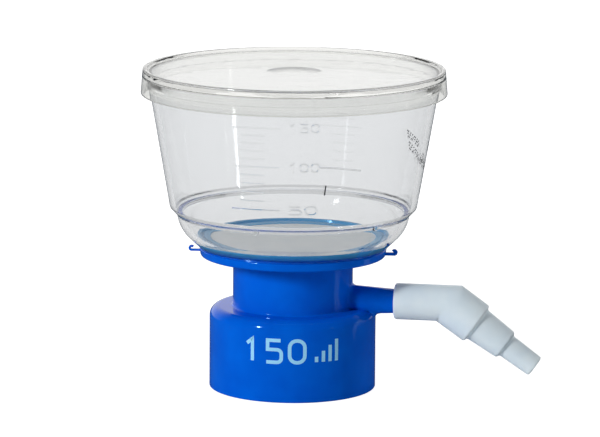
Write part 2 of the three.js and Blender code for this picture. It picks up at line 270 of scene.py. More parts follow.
def lofted(rings: Sequence[Sequence[Vector]], looped: bool) -> Shell:
    """Joins rings of equally many points.

    Args:
        rings: the rings, in order.
        looped: True closes the loft on its first ring, False gives it flat ends.

    Returns:
        The closed shell.
    """
    count = len(rings[0])
    points = [point for ring in rings for point in ring]
    faces: list[tuple[int, ...]] = []
    for index in range(len(rings) if looped else len(rings) - 1):
        low = index * count
        high = (index + 1) % len(rings) * count
        for step in range(count):
            after = (step + 1) % count
            faces.append((low + step, low + after, high + after, high + step))
    if not looped:
        faces.append(tuple(range(count)))
        faces.append(tuple(range(len(points) - count, len(points))))
    return Shell(points, faces)


def along_arm(height: float) -> Matrix:
    """Turns a shell made about +Z so that it lies along +X at a height."""
    return Matrix.Translation((0, 0, height)) @ Matrix.Rotation(math.pi / 2, 4, "Y")


def carved(mesh: bpy.types.Mesh, tool: Shell, carving: Carving) -> bpy.types.Mesh:
    """Cuts a tool out of a mesh, or joins it on as one closed surface.

    Args:
        mesh: the mesh to change, in metres.
        tool: the shell that is cut out or joined on.
        carving: which of the two.

    Returns:
        The new mesh.
    """
    name = mesh.name
    blade = tool.mesh("carving_tool")
    target = bpy.data.objects.new("carving_target", mesh)
    cutter = bpy.data.objects.new("carving_tool", blade)
    for helper in (target, cutter):
        bpy.context.scene.collection.objects.link(helper)
    modifier = target.modifiers.new("carving", "BOOLEAN")
    modifier.operation = carving.value
    modifier.solver = "MANIFOLD"
    modifier.object = cutter
    evaluated = target.evaluated_get(bpy.context.evaluated_depsgraph_get())
    result = bpy.data.meshes.new_from_object(evaluated)
    for helper in (target, cutter):
        bpy.data.objects.remove(helper)
    for used in (mesh, blade):
        bpy.data.meshes.remove(used)
    result.name = name
    return result


# ---------- strokes on a round surface ----------


@dataclass(frozen=True)
class RoundWall:
    """A cone or cylinder about the unit's axis that strokes are laid on."""

    foot_radius: float
    foot_height: float
    taper: float

    def radius(self, height: float) -> float:
        """The wall's radius at a height."""
        return self.foot_radius + (height - self.foot_height) * self.taper

    def place(self, azimuth: float, along: float, height: float) -> tuple[Vector, Vector]:
        """A point on the wall and the wall's outward normal there.

        Args:
            azimuth: the direction that lengths along the wall are measured from, in radians.
            along: the length round the wall from there, to the right as seen from outside.
            height: the height over the collar's mouth.

        Returns:
            The point and the unit normal.
        """
        radius = self.radius(height)
        angle = azimuth + along / radius
        outward = Vector((math.sin(angle), -math.cos(angle), 0))
        normal = (outward - Vector((0, 0, self.taper))).normalized()
        return outward * radius + Vector((0, 0, height)), normal


@dataclass(frozen=True)
class Bead:
    """The section of a raised or printed stroke; crown and shoulder are shares of its width and height."""

    width: float
    height: float
    sink: float
    crown: float = 0.6
    shoulder: float = 0.4

    def section(self) -> list[Point]:
        """The corners of the section.

        Returns:
            The corners, as a sideways and an upward offset from the path.
        """
        half = self.width / 2
        top = half * self.crown
        shoulder = self.height * self.shoulder
        return [
            (-half, -self.sink), (half, -self.sink), (half, shoulder), (top, self.height),
            (-top, self.height), (-half, shoulder),
        ]


def finely(path: Sequence[Point], closed: bool) -> list[Point]:
    """A path with points added on its long steps, so that a stroke bends with its wall.

    Args:
        path: the path's points.
        closed: True where the path runs back to its start.

    Returns:
        The points, none much further than half a millimetre from the next.
    """
    longest = 0.5
    points: list[Point] = []
    ends = [*path[1:], path[0]] if closed else path[1:]
    for start, end in zip(path, ends):
        steps = max(1, round(math.dist(start, end) / longest))
        for step in range(steps):
            share = step / steps
            points.append((start[0] + (end[0] - start[0]) * share, start[1] + (end[1] - start[1]) * share))
    return points if closed else [*points, path[-1]]


def stroke(path: Sequence[Point], closed: bool, bead: Bead, wall: RoundWall, azimuth: float) -> Shell:
    """Lays a bead along a path on a round wall.

    Args:
        path: lengths along the wall and heights, in order.
        closed: True where the path runs back to its start.
        bead: the bead's section.
        wall: the wall.
        azimuth: the direction that the lengths are measured from, in radians.

    Returns:
        The bead as a closed shell.
    """
    least_mitre = 0.5
    rings: list[list[Vector]] = []
    path = finely(path, closed)
    count = len(path)
    for index, (along, height) in enumerate(path):
        before = path[index - 1] if index or closed else path[0]
        after = path[(index + 1) % count] if index < count - 1 or closed else path[-1]
        incoming = (Vector((along, height)) - Vector(before)).normalized()
        outgoing = (Vector(after) - Vector((along, height))).normalized()
        heading = (incoming + outgoing).normalized()
        edge = outgoing if outgoing.length > 0 else incoming
        mitre = 1 / max(heading.dot(edge), least_mitre)
        sideways = Vector((heading.y, -heading.x)) * mitre
        ring = []
        for across, up in bead.section():
            point, normal = wall.place(azimuth, along + sideways.x * across, height + sideways.y * across)
            ring.append(point + normal * up)
        rings.append(ring)
    return lofted(rings, looped=closed)


class Digit(Enum):
    """The figures of the volume scale: x, y and rounding of corners in a cell one wide and one high."""

    ZERO = ((0.0, 0.0, 0.46), (1.0, 0.0, 0.46), (1.0, 1.0, 0.46), (0.0, 1.0, 0.46))
    ONE = ((0.15, 0.78, 0.0), (0.55, 1.0, 0.0), (0.55, 0.0, 0.0))
    FIVE = (
        (0.95, 1.0, 0.0), (0.08, 1.0, 0.0), (0.08, 0.58, 0.0), (1.0, 0.58, 0.28),
        (1.0, 0.0, 0.28), (0.0, 0.0, 0.0),
    )

    def path(self, left: float, foot: float, width: float, height: float) -> list[Point]:
        """The figure's path at its real size.

        Args:
            left: where its left side is, along the wall.
            foot: the height of its foot.
            width: its width.
            height: its height.

        Returns:
            The path's points.
        """
        arc_step = math.radians(18)
        side = min(width, height)
        corners = [(left + x * width, foot + y * height, rounding * side) for x, y, rounding in self.value]
        return rounded(corners, arc_step)


def figures(number: int) -> list[Digit]:
    """The digits of a number on the scale."""
    return [{"0": Digit.ZERO, "1": Digit.ONE, "5": Digit.FIVE}[sign] for sign in str(number)]


# ---------- finishes ----------


def srgb(code: str) -> Colour:
    """Turns an sRGB hex colour into a linear one.

    Args:
        code: the colour, such as #0055d0.

    Returns:
        Red, green, blue and an alpha of one.
    """
    channels = [int(code[index : index + 2], 16) / 255 for index in (1, 3, 5)]
    linear = [c / 12.92 if c <= 0.04045 else ((c + 0.055) / 1.055) ** 2.4 for c in channels]
    return linear[0], linear[1], linear[2], 1.0


def add_node(
    tree: bpy.types.NodeTree,
    kind: str,
    settings: Mapping[str, Any] | None = None,
    inputs: Mapping[str | int, Any] | None = None,
) -> bpy.types.Node:
    """Adds a node with its settings, values and links.

    Args:
        tree: the node tree.
        kind: the node's type name.
        settings: the node's own properties.
        inputs: for each input socket a value, or the output socket that feeds it.

    Returns:
        The new node.
    """
    node = tree.nodes.new(kind)
    for name, value in (settings or {}).items():
        setattr(node, name, value)
    for name, given in (inputs or {}).items():
        if isinstance(given, bpy.types.NodeSocket):
            tree.links.new(given, node.inputs[name])
        else:
            node.inputs[name].default_value = given
    return node


@dataclass(frozen=True)
class Grain:
    """Soft noise: how wide its blobs are, in millimetres, and how many finer layers it has."""

    width: float
    layers: float


@dataclass(frozen=True)
class Finish:
    """A material by the way it was made.

    The colour is one hex code, or drifts between two along the tone's grain. The roughness is one
    number, or runs between two along the skin's grain, which also bends the surface: by how much is
    the bump, and how deep is the relief, in millimetres. Optics are the shader's other inputs.
    """

    name: str
    colours: tuple[str, ...]
    roughness: tuple[float, ...]
    tone: Grain | None = None
    skin: Grain | None = None
    bump: float = 0.0
    relief: float = 0.0
    optics: Mapping[str, Any] = field(default_factory=dict)

    def material(self) -> bpy.types.Material:
        """The finish as a material, made once.

        Returns:
            The material.
        """
        found = bpy.data.materials.get(self.name)
        if found:
            return found
        material = bpy.data.materials.new(self.name)
        material.use_nodes = True
        tree = material.node_tree
        tree.nodes.clear()
        add_node(tree, "ShaderNodeOutputMaterial", inputs={"Surface": self.surface(tree)})
        return material

    def coat(self, tree: bpy.types.NodeTree) -> dict[str, Any]:
        """Adds the patterns of the colour and the skin.

        Args:
            tree: the material's nodes.

        Returns:
            Values and sockets for the inputs of the finish's shader.
        """
        place = add_node(tree, "ShaderNodeTexCoord").outputs["Object"]
        noise = {
            grain: add_node(
                tree, "ShaderNodeTexNoise",
                inputs={"Vector": place, "Scale": 1 / (grain.width * MM), "Detail": grain.layers},
            ).outputs["Fac"]
            for grain in (self.tone, self.skin) if grain
        }
        coat = {"Base Color": srgb(self.colours[0]), "Roughness": self.roughness[0], **self.optics}
        if len(self.colours) > 1:
            share = add_node(
                tree, "ShaderNodeMapRange",
                inputs={"Value": noise[self.tone], **NOISE_REACH, "To Min": 0.0, "To Max": 1.0},
            ).outputs["Result"]
            dark, light = (srgb(code) for code in self.colours)
            coat["Base Color"] = add_node(
                tree, "ShaderNodeMix", {"data_type": "RGBA"}, {0: share, 6: dark, 7: light}
            ).outputs[2]
        if len(self.roughness) > 1:
            least, most = self.roughness
            coat["Roughness"] = add_node(
                tree, "ShaderNodeMapRange",
                inputs={"Value": noise[self.skin], **NOISE_REACH, "To Min": least, "To Max": most},
            ).outputs["Result"]
        if self.skin:
            coat["Normal"] = add_node(
                tree, "ShaderNodeBump",
                inputs={"Height": noise[self.skin], "Strength": self.bump, "Distance": self.relief * MM},
            ).outputs["Normal"]
        return coat

    def surface(self, tree: bpy.types.NodeTree) -> bpy.types.NodeSocket:
        """Adds the shader with its patterns, and returns its output socket."""
        return add_node(tree, "ShaderNodeBsdfPrincipled", inputs=self.coat(tree)).outputs[0]


@dataclass(frozen=True)
class ClearFinish(Finish):
    """A clear plastic, which lets lamps through to what it holds."""

    def surface(self, tree: bpy.types.NodeTree) -> bpy.types.NodeSocket:
        """Adds the shader, which is plainly transparent to shadow rays and soft light.

        Args:
            tree: the material's nodes.

        Returns:
            The output socket of the shaders together.
        """
        clear = add_node(tree, "ShaderNodeBsdfTransparent", inputs={"Color": srgb(self.colours[0])})
        path = add_node(tree, "ShaderNodeLightPath")
        passes = add_node(
            tree, "ShaderNodeMath", {"operation": "MAXIMUM"},
            {0: path.outputs["Is Shadow Ray"], 1: path.outputs["Is Diffuse Ray"]},
        )
        mix = add_node(
            tree, "ShaderNodeMixShader",
            inputs={0: passes.outputs[0], 1: super().surface(tree), 2: clear.outputs[0]},
        )
        return mix.outputs[0]


# Polystyrene, injection moulded and polished by its mould: the wall is nearly unseen, with the soft
# ripple of its mould, and its edges and roundings draw grey lines.
CLEAR_FUNNEL = ClearFinish(
    "polystyrene_moulded_clear_funnel", ("#eeeff0",), (0.0,), skin=Grain(7.0, 1), bump=0.05, relief=0.3,
    optics={"IOR": 1.59, "Transmission Weight": 1.0},
)
# The same plastic in the lid, a little warmer where light crosses it edgewise.
CLEAR_LID = replace(CLEAR_FUNNEL, name="polystyrene_moulded_clear_lid", colours=("#f5f5f2",))
# Polypropylene, injection moulded and full of blue pigment: one deep even blue whose pigment flows in
# faint clouds, under a smooth skin with sharp highlights on its roundings.
BLUE = Finish(
    "polypropylene_moulded_blue", ("#0058cf", "#0062da"), (0.05, 0.09), Grain(9.0, 2), Grain(1.6, 3),
    bump=0.05, relief=0.03, optics={"IOR": 1.49, "Specular Tint": srgb("#84b8e6")},
)
# The same plastic as a thin ring over a white sheet, with painted light: its colour is painted paler, in
# place of the light that would come through it from the sheet.
BLUE_PAINTED_THROUGH_LIGHT = replace(BLUE, name="polypropylene_moulded_blue_painted_light_through", colours=("#429fd6", "#4eaae2"))
# Polyethylene, injection moulded without pigment: milky and satin. Light spreads 1.6 mm under its
# skin, so its shade is soft and its highlights are broad and dull.
PALE = Finish(
    "polyethylene_moulded_natural", ("#dae8f2", "#e4f0f7"), (0.3, 0.38), Grain(7.0, 2), Grain(0.9, 3),
    bump=0.12, relief=0.06,
    optics={
        "IOR": 1.51,
        "Subsurface Weight": 0.6,
        "Subsurface Radius": (1.0, 1.0, 1.0),
        "Subsurface Scale": 1.6 * MM,
    },
)
# Cellulose ester, cast as a porous sheet: dead white and matt, with a faint mottle. Its pores are
# drawn coarser than the real ones, so that they show.
MEMBRANE = Finish(
    "cellulose_ester_cast_white", ("#f3f7fa", "#fbfdfe"), (0.85,), Grain(6.0, 3), Grain(0.35, 4),
    bump=0.3, relief=0.04,
)
# Silicone, moulded: off-white with a dull rubbery gloss and hardly any relief.
SEAL = Finish(
    "silicone_moulded_white", ("#dcdcd8", "#e8e8e4"), (0.6,), Grain(1.2, 4), Grain(1.2, 4),
    bump=0.5, relief=0.03,
)
# Cotton, carded: tufts of white fibre, a coarse relief without any gloss. One noise drives both the relief
# and the colour, so the colour is darker where the relief is low: painted shade between the tufts.
COTTON = Finish(
    "cotton_carded_white", ("#e4e4e0", "#f8f8f6"), (0.95,), Grain(0.5, 4), Grain(0.5, 4),
    bump=0.5, relief=0.2,
)
# Ink, pad printed: an even film with a dull gloss, pale on the blue and thinner in small spots.
COLLAR_INK = Finish("ink_pad_printed_pale_blue", ("#9adcff", "#92d4fb"), (0.4,), Grain(0.5, 3))
# Ink, sprayed: nearly black, and greyer where its film is thin.
CODE_INK = Finish("ink_sprayed_black", ("#1c1e22", "#34363a"), (0.4,), Grain(0.5, 3))


def placed(
    mesh: bpy.types.Mesh, body: Body, finish: Finish, replaces: Sequence[str] = ()
) -> bpy.types.Object:
    """Makes a piece of a mesh, dresses it, and lets it ride on its body.

    Args:
        mesh: the piece's mesh, in metres, about the unit's own axis.
        body: the body that it moves with.
        finish: the piece's finish.
        replaces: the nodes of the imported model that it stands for.

    Returns:
        The piece.
    """
    piece = bpy.data.objects.new(mesh.name, mesh)
    bpy.context.scene.collection.objects.link(piece)
    mesh.transform(Matrix.Translation((UNIT.axis_x * MM, 0, 0)))
    mesh.materials.clear()
    mesh.materials.append(finish.material())
    mesh.polygons.foreach_set("use_smooth", [True] * len(mesh.polygons))
    mesh.set_sharp_from_angle(angle=SHARP_ANGLE)
    weighted = piece.modifiers.new("even_shading", "WEIGHTED_NORMAL")
    weighted.keep_sharp = True
    weighted.weight = SHADING_WEIGHT
    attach(piece, body.value)
    if replaces:
        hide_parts(*replaces)
    log.info("%s: %d faces on %s", piece.name, len(mesh.polygons), body.value)
    return piece


# ---------- the unit's shared heights ----------


@dataclass(frozen=True)
class Unit:
    """Places that several pieces share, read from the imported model, in millimetres."""

    axis_x: float
    dish_top: float
    support_top: float
    membrane_top: float
    clamp_top: float
    rim: float
    lid_top: float
    skirt_edge: float
    ceiling: float
    arm_height: float

    @classmethod
    def measured(cls) -> "Unit":
        """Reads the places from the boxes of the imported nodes.

        Returns:
            The places, in millimetres.
        """
        funnel_low, funnel_high = (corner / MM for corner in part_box("funnel"))
        membrane_low, membrane_high = (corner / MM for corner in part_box("membrane"))
        lid_low, lid_high = (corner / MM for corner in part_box("lid"))
        plug_low, plug_high = (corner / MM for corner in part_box("side_arm_plug"))
        return cls(
            axis_x=(funnel_low.x + funnel_high.x) / 2,
            dish_top=funnel_low.z,
            support_top=membrane_low.z,
            membrane_top=membrane_high.z,
            clamp_top=(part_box("clamp_ring")[1] / MM).z,
            rim=funnel_high.z,
            lid_top=lid_high.z,
            skirt_edge=lid_low.z,
            ceiling=(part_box("sealing_ring")[1] / MM).z,
            arm_height=(plug_low.z + plug_high.z) / 2,
        )


UNIT = Unit.measured()
# The camera's direction about the unit's axis, which the print and the scale also face.
FRONT = math.radians(9.4)


# ---------- base ----------


@dataclass(frozen=True)
class Ear:
    """A thin flat hook on the dish's edge. The azimuth is in degrees from the side arm."""

    azimuth: float
    reach: float
    wire: float
    curl: float
    drop: float
    width: float = 1.2
    edge_round: float = 0.18
    root_depth: float = 1.0

    def shell(self, dish_radius: float) -> Shell:
        """The hook, which leaves the dish's edge and curls up and back.

        Args:
            dish_radius: radius of the dish's edge.

        Returns:
            One closed shell with its root inside the dish.
        """
        bottom = UNIT.dish_top - self.drop + self.wire / 2
        centre = Vector((self.reach, bottom + self.curl))
        curl_turn = math.radians(235)
        curl_steps = 14
        root = dish_radius - self.root_depth
        path = [Vector((root, bottom)), Vector((self.reach - self.curl, bottom))]
        for step in range(curl_steps + 1):
            angle = -math.pi / 2 + curl_turn * step / curl_steps
            path.append(centre + Vector((math.cos(angle), math.sin(angle))) * self.curl)
        half_wire, half_width = self.wire / 2, self.width / 2
        edge_step = math.radians(30)
        section = rounded(
            [
                (-half_wire, -half_width, self.edge_round), (half_wire, -half_width, self.edge_round),
                (half_wire, half_width, self.edge_round), (-half_wire, half_width, self.edge_round),
            ],
            edge_step,
        )
        rings: list[list[Vector]] = []
        for index, point in enumerate(path):
            before = path[max(index - 1, 0)]
            after = path[min(index + 1, len(path) - 1)]
            heading = (after - before).normalized()
            outward = Vector((heading.y, -heading.x))
            rings.append(
                [Vector((point.x + outward.x * up, side, point.y + outward.y * up)) for up, side in section]
            )
        return lofted(rings, looped=False).moved(Matrix.Rotation(math.radians(self.azimuth), 4, "Z"))


@dataclass(frozen=True)
class FilterBase:
    """The blue moulding: collar with its thread, neck, dish with the support, side arm and two ears."""

    collar_radius: float = 24.3
    collar_height: float = 24.0
    collar_wall: float = 1.6
    shoulder_round: float = 3.0
    mouth_round: float = 0.4
    mouth_bore_round: float = 0.15
    mouth_lead: float = 0.5
    neck_radius: float = 17.5
    neck_wall: float = 1.8
    neck_foot_fillet: float = 0.65
    neck_head_fillet: float = 0.7
    dish_radius: float = 27.0
    dish_draft: float = 0.3
    dish_thickness: float = 2.35
    dish_edge_round: float = 0.7
    dish_lip_round: float = 0.25
    support_radius: float = 25.0
    support_land: float = 1.1
    support_round: float = 0.15
    land_round: float = 0.1
    support_edge_depth: float = 0.9
    support_drain_depth: float = 1.9
    rib_rings: int = 3
    rib_width: float = 1.2
    rib_round: float = 0.2
    channels: int = 8
    channel_width: float = 1.6
    channel_depth: float = 0.3
    drain_radius: float = 2.6
    drain_round: float = 0.4
    spout_wall: float = 1.4
    spout_length: float = 8.0
    spout_inner_round: float = 0.2
    spout_outer_round: float = 0.3
    bore_head_round: float = 0.5
    bore_foot_round: float = 0.3
    arm_root_radius: float = 4.3
    arm_middle_radius: float = 3.54
    arm_middle: float = 30.2
    arm_tip_radius: float = 3.4
    arm_length: float = 41.0
    arm_tip_round: float = 0.8
    arm_bore: float = 2.2
    neck_flare: float = 1.3
    collar_flare: float = 2.0
    thread_pitch: float = 4.0
    thread_turns: float = 2.6
    thread_height: float = 1.0
    thread_foot: float = 5.0
    ears: tuple[Ear, ...] = (
        Ear(5.1, 29.6, 0.9, 0.5, 2.05),
        Ear(185.1, 29.75, 0.62, 0.56, 1.85),
    )

    @property
    def dish_bottom(self) -> float:
        """Height of the dish's underside."""
        return UNIT.dish_top - self.dish_thickness

    @property
    def collar_bore(self) -> float:
        """Radius of the room for the bottle's neck."""
        return self.collar_radius - self.collar_wall

    @property
    def support_border(self) -> float:
        """Inner radius of the flat border that the membrane is clamped on."""
        return self.support_radius - self.support_land

    def drain_floor(self, radius: float) -> float:
        """The height of the drain floor under the membrane.

        Args:
            radius: how far out from the axis.

        Returns:
            The floor's height there.
        """
        border = self.support_border
        slope = (self.support_drain_depth - self.support_edge_depth) / (border - self.drain_radius)
        return UNIT.support_top - self.support_edge_depth - slope * (border - radius)

    def support(self) -> list[Corner]:
        """The support's top, whose rings stand on a sloping floor.

        Returns:
            The corners from its border to the drain.
        """
        border = self.support_border
        pitch = (border - self.drain_radius - self.spout_wall) / (self.rib_rings + 0.5)
        corners: list[Corner] = [
            (border, UNIT.support_top, self.land_round),
            (border, self.drain_floor(border), 0.0),
        ]
        for ring in range(self.rib_rings):
            outer = border - (ring + 1) * pitch + self.rib_width
            inner = outer - self.rib_width
            corners += [
                (outer, self.drain_floor(outer), 0.0), (outer, UNIT.support_top, self.rib_round),
                (inner, UNIT.support_top, self.rib_round), (inner, self.drain_floor(inner), 0.0),
            ]
        return corners + [(self.drain_radius, self.drain_floor(self.drain_radius), self.drain_round)]

    def body(self) -> Shell:
        """Collar, neck, dish, support and spout, turned about the axis.

        Returns:
            The moulding without its arm, thread, ears and channels.
        """
        spout_radius = self.drain_radius + self.spout_wall
        spout_tip = self.dish_bottom - self.spout_length
        neck_bore = self.neck_radius - self.neck_wall
        collar_foot = (self.collar_radius, 0.0, self.mouth_round)
        collar_head = (self.collar_radius, self.collar_height, self.shoulder_round)
        neck_foot = (self.neck_radius, self.collar_height, self.neck_foot_fillet)
        neck_head = (self.neck_radius, self.dish_bottom, self.neck_head_fillet)
        wall_loops = 14
        neck_loops = 10
        corners = [
            (self.collar_bore + self.mouth_lead, 0.0, self.mouth_bore_round),
            collar_foot,
            *between(collar_foot, collar_head, wall_loops)[:-1],
            collar_head,
            neck_foot,
            *between(neck_foot, neck_head, neck_loops)[1:],
            neck_head,
            (self.dish_radius, self.dish_bottom, self.dish_edge_round),
            (self.dish_radius + self.dish_draft, UNIT.dish_top, self.dish_lip_round),
            (self.support_radius, UNIT.dish_top, 0.0),
            (self.support_radius, UNIT.support_top, self.support_round),
            *self.support(),
            (self.drain_radius, spout_tip, self.spout_inner_round),
            (spout_radius, spout_tip, self.spout_outer_round),
            (spout_radius, self.dish_bottom, self.bore_head_round),
            (neck_bore, self.dish_bottom, self.bore_head_round),
            (neck_bore, UNIT.ceiling, self.bore_foot_round),
            (self.collar_bore, UNIT.ceiling, self.bore_foot_round),
            (self.collar_bore, self.mouth_lead * 2, 0.0),
        ]
        return turned(rounded(corners))

    def arm_radius(self, distance: float) -> float:
        """The arm's radius at a distance from the unit's axis."""
        share = (distance - self.neck_radius) / (self.arm_middle - self.neck_radius)
        return self.arm_root_radius + (self.arm_middle_radius - self.arm_root_radius) * share

    def arm(self) -> Shell:
        """The side arm from inside the neck's wall to its mouth.

        Returns:
            The arm as a solid rod.
        """
        inside = self.neck_radius - self.neck_wall / 2
        corners = [
            (0.0, inside, 0.0),
            (self.arm_root_radius, inside, 0.0),
            (self.arm_root_radius, self.neck_radius, 0.0),
            (self.arm_middle_radius, self.arm_middle, 0.0),
            (self.arm_tip_radius, self.arm_length, self.arm_tip_round),
            (0.0, self.arm_length, 0.0),
        ]
        return turned(rounded(corners), SMALL_SEGMENTS).moved(along_arm(UNIT.arm_height))

    def arm_bore_tool(self) -> Shell:
        """The bore from inside the neck to the arm's mouth.

        Returns:
            The rod to cut out.
        """
        start = self.neck_radius - 2 * self.neck_wall
        end = self.arm_length + self.arm_bore
        outline = [(0.0, start), (self.arm_bore, start), (self.arm_bore, end), (0.0, end)]
        return turned(outline, SMALL_SEGMENTS).moved(along_arm(UNIT.arm_height))

    def collar_edge(self, height: float) -> float:
        """The collar's outer radius, round its shoulder.

        Args:
            height: the height over the collar's mouth.

        Returns:
            The radius there.
        """
        rise = height - (self.collar_height - self.shoulder_round)
        if rise <= 0:
            return self.collar_radius
        rise = min(rise, self.shoulder_round)
        return self.collar_radius - self.shoulder_round + math.sqrt(self.shoulder_round**2 - rise**2)

    def flare(
        self, wall: Callable[[float], float], size: Callable[[float], float], lowest: float, highest: float
    ) -> Shell:
        """A concave fillet between the arm and a round wall, sunk a little into both.

        Args:
            wall: the wall's radius at a height.
            size: the fillet's radius at an angle round the arm, where 0 is on top.
            lowest: the fillet is flat below this height.
            highest: the fillet is flat above this height.

        Returns:
            The fillet as a closed shell.
        """
        sink = 0.05
        depth = 0.7
        arc_points = 9
        rings: list[list[Vector]] = []
        for step in range(SMALL_SEGMENTS):
            angle = 2 * math.pi * step / SMALL_SEGMENTS
            fillet = size(angle)
            root = self.arm_radius(wall(UNIT.arm_height - self.arm_root_radius)) - sink
            section = [
                (root + fillet * (1 - math.sin(turn)), fillet * (1 - math.cos(turn)) - sink)
                for turn in (math.pi / 2 * point / (arc_points - 1) for point in range(arc_points))
            ]
            section += [(root - depth, fillet), (root - depth, -depth), (root + fillet, -depth)]
            ring: list[Vector] = []
            for radius, distance in section:
                height = UNIT.arm_height + radius * math.cos(angle)
                height = min(max(height, lowest), highest)
                side = -radius * math.sin(angle)
                edge = math.sqrt(wall(height) ** 2 - side**2)
                ring.append(Vector((edge + distance, side, height)))
            rings.append(ring)
        return lofted(rings, looped=True)

    def neck_fillet(self) -> Shell:
        """The fillet between the arm and the neck, above the shoulder."""
        lowest = self.collar_height - self.mouth_round
        return self.flare(lambda _: self.neck_radius, lambda _: self.neck_flare, lowest, self.dish_bottom)

    def collar_fillet(self) -> Shell:
        """The fillet under the arm, on the collar's outer wall.

        Returns:
            The fillet as a closed shell.
        """
        top = self.collar_height - self.mouth_round
        least = 0.1
        fade_start = 0.62
        fade_width = 0.25

        def size(angle: float) -> float:
            """The fillet's radius, full only near the bottom of the arm.

            Args:
                angle: the angle round the arm, where 0 is on top.

            Returns:
                The radius there.
            """
            below = -math.cos(angle)
            share = min(max((below - fade_start) / fade_width, 0.0), 1.0)
            return least + (self.collar_flare - least) * share * share * (3 - 2 * share)

        return self.flare(self.collar_edge, size, UNIT.ceiling - 2 * self.collar_flare, top)

    def thread(self) -> Shell:
        """A right-handed ridge that winds up the inside of the collar and fades at both ends.

        Returns:
            The ridge, sunk a little into the wall.
        """
        steps_per_turn = 72
        half_foot = 1.15
        half_crest = 0.45
        sink = 0.3
        fade = 0.08
        least_crest = 0.15
        steps = round(self.thread_turns * steps_per_turn)
        rings: list[list[Vector]] = []
        for step in range(steps + 1):
            share = step / steps
            angle = 2 * math.pi * self.thread_turns * share
            rise = self.thread_foot + self.thread_pitch * self.thread_turns * share
            ease = min(share / fade, (1 - share) / fade, 1.0)
            crest = self.collar_bore - self.thread_height * (least_crest + (1 - least_crest) * ease)
            back = self.collar_bore + sink
            section = [(back, -half_foot), (back, half_foot), (crest, half_crest), (crest, -half_crest)]
            rings.append(
                [
                    Vector((radius * math.cos(angle), radius * math.sin(angle), rise + up))
                    for radius, up in section
                ]
            )
        return lofted(rings, looped=False)

    def channel_tools(self) -> Shell:
        """Narrow blocks for the channels through the support's rings.

        Returns:
            The blocks to cut out.
        """
        border = self.support_border
        half = self.channel_width / 2
        inner = self.drain_radius - self.channel_width
        top = UNIT.support_top + self.channel_depth
        ends = ((inner, self.drain_floor(self.drain_radius)), (border, self.drain_floor(border)))
        rings = [
            [
                Vector((x, -half, floor - self.channel_depth)), Vector((x, half, floor - self.channel_depth)),
                Vector((x, half, top)), Vector((x, -half, top)),
            ]
            for x, floor in ends
        ]
        block = lofted(rings, looped=False)
        turns = [2 * math.pi * (index + 0.5) / self.channels for index in range(self.channels)]
        blocks = [block.moved(Matrix.Rotation(turn, 4, "Z")) for turn in turns]
        return blocks[0].joined(blocks[1:])

    def build(self) -> list[bpy.types.Object]:
        """Makes the moulding as one closed surface, and dresses it.

        Returns:
            The piece, in a list.
        """
        mesh = self.body().mesh("base_moulding")
        for addition in (
            self.arm(), self.neck_fillet(), self.collar_fillet(), self.thread(),
            *(ear.shell(self.dish_radius) for ear in self.ears),
        ):
            mesh = carved(mesh, addition, Carving.ADD)
        for tool in (self.arm_bore_tool(), self.channel_tools()):
            mesh = carved(mesh, tool, Carving.REMOVE)
        return [placed(mesh, Body.UNIT, BLUE, ["base_adapter"])]


@dataclass(frozen=True)
class CollarPrint:
    """Pale print on the collar: the largest volume, and bars that grow to the right of it."""

    centre_height: float = 15.2
    digit_width: float = 4.4
    digit_height: float = 6.4
    digit_gap: float = 2.4
    stroke_width: float = 1.05
    bars: int = 4
    bar_pitch: float = 2.1
    capacity: int = 150
    film: float = 0.03
    lift: float = 0.012
    crown: float = 0.98

    def build(self, base: FilterBase) -> list[bpy.types.Object]:
        """Lays the figures and bars on the collar as a thin film.

        Args:
            base: the base that is printed on.

        Returns:
            The print, in a list.
        """
        wall = RoundWall(base.collar_radius, 0.0, 0.0)
        bead = Bead(self.stroke_width, self.lift + self.film, -self.lift, self.crown)
        foot = self.centre_height - self.digit_height / 2
        step = self.digit_width + self.digit_gap
        digits = figures(self.capacity)
        width = step * len(digits) + self.bars * self.bar_pitch
        left = -width / 2
        shells: list[Shell] = []
        for index, digit in enumerate(digits):
            path = digit.path(left + index * step, foot, self.digit_width, self.digit_height)
            shells.append(stroke(path, digit is Digit.ZERO, bead, wall, FRONT))
        for index in range(self.bars):
            along = left + len(digits) * step + (index + 0.5) * self.bar_pitch
            top = foot + self.digit_height * (index + 1) / self.bars
            shells.append(stroke([(along, foot), (along, top)], False, bead, wall, FRONT))
        mesh = shells[0].joined(shells[1:]).mesh("collar_print")
        return [placed(mesh, Body.UNIT, COLLAR_INK)]


# ---------- small pieces inside ----------


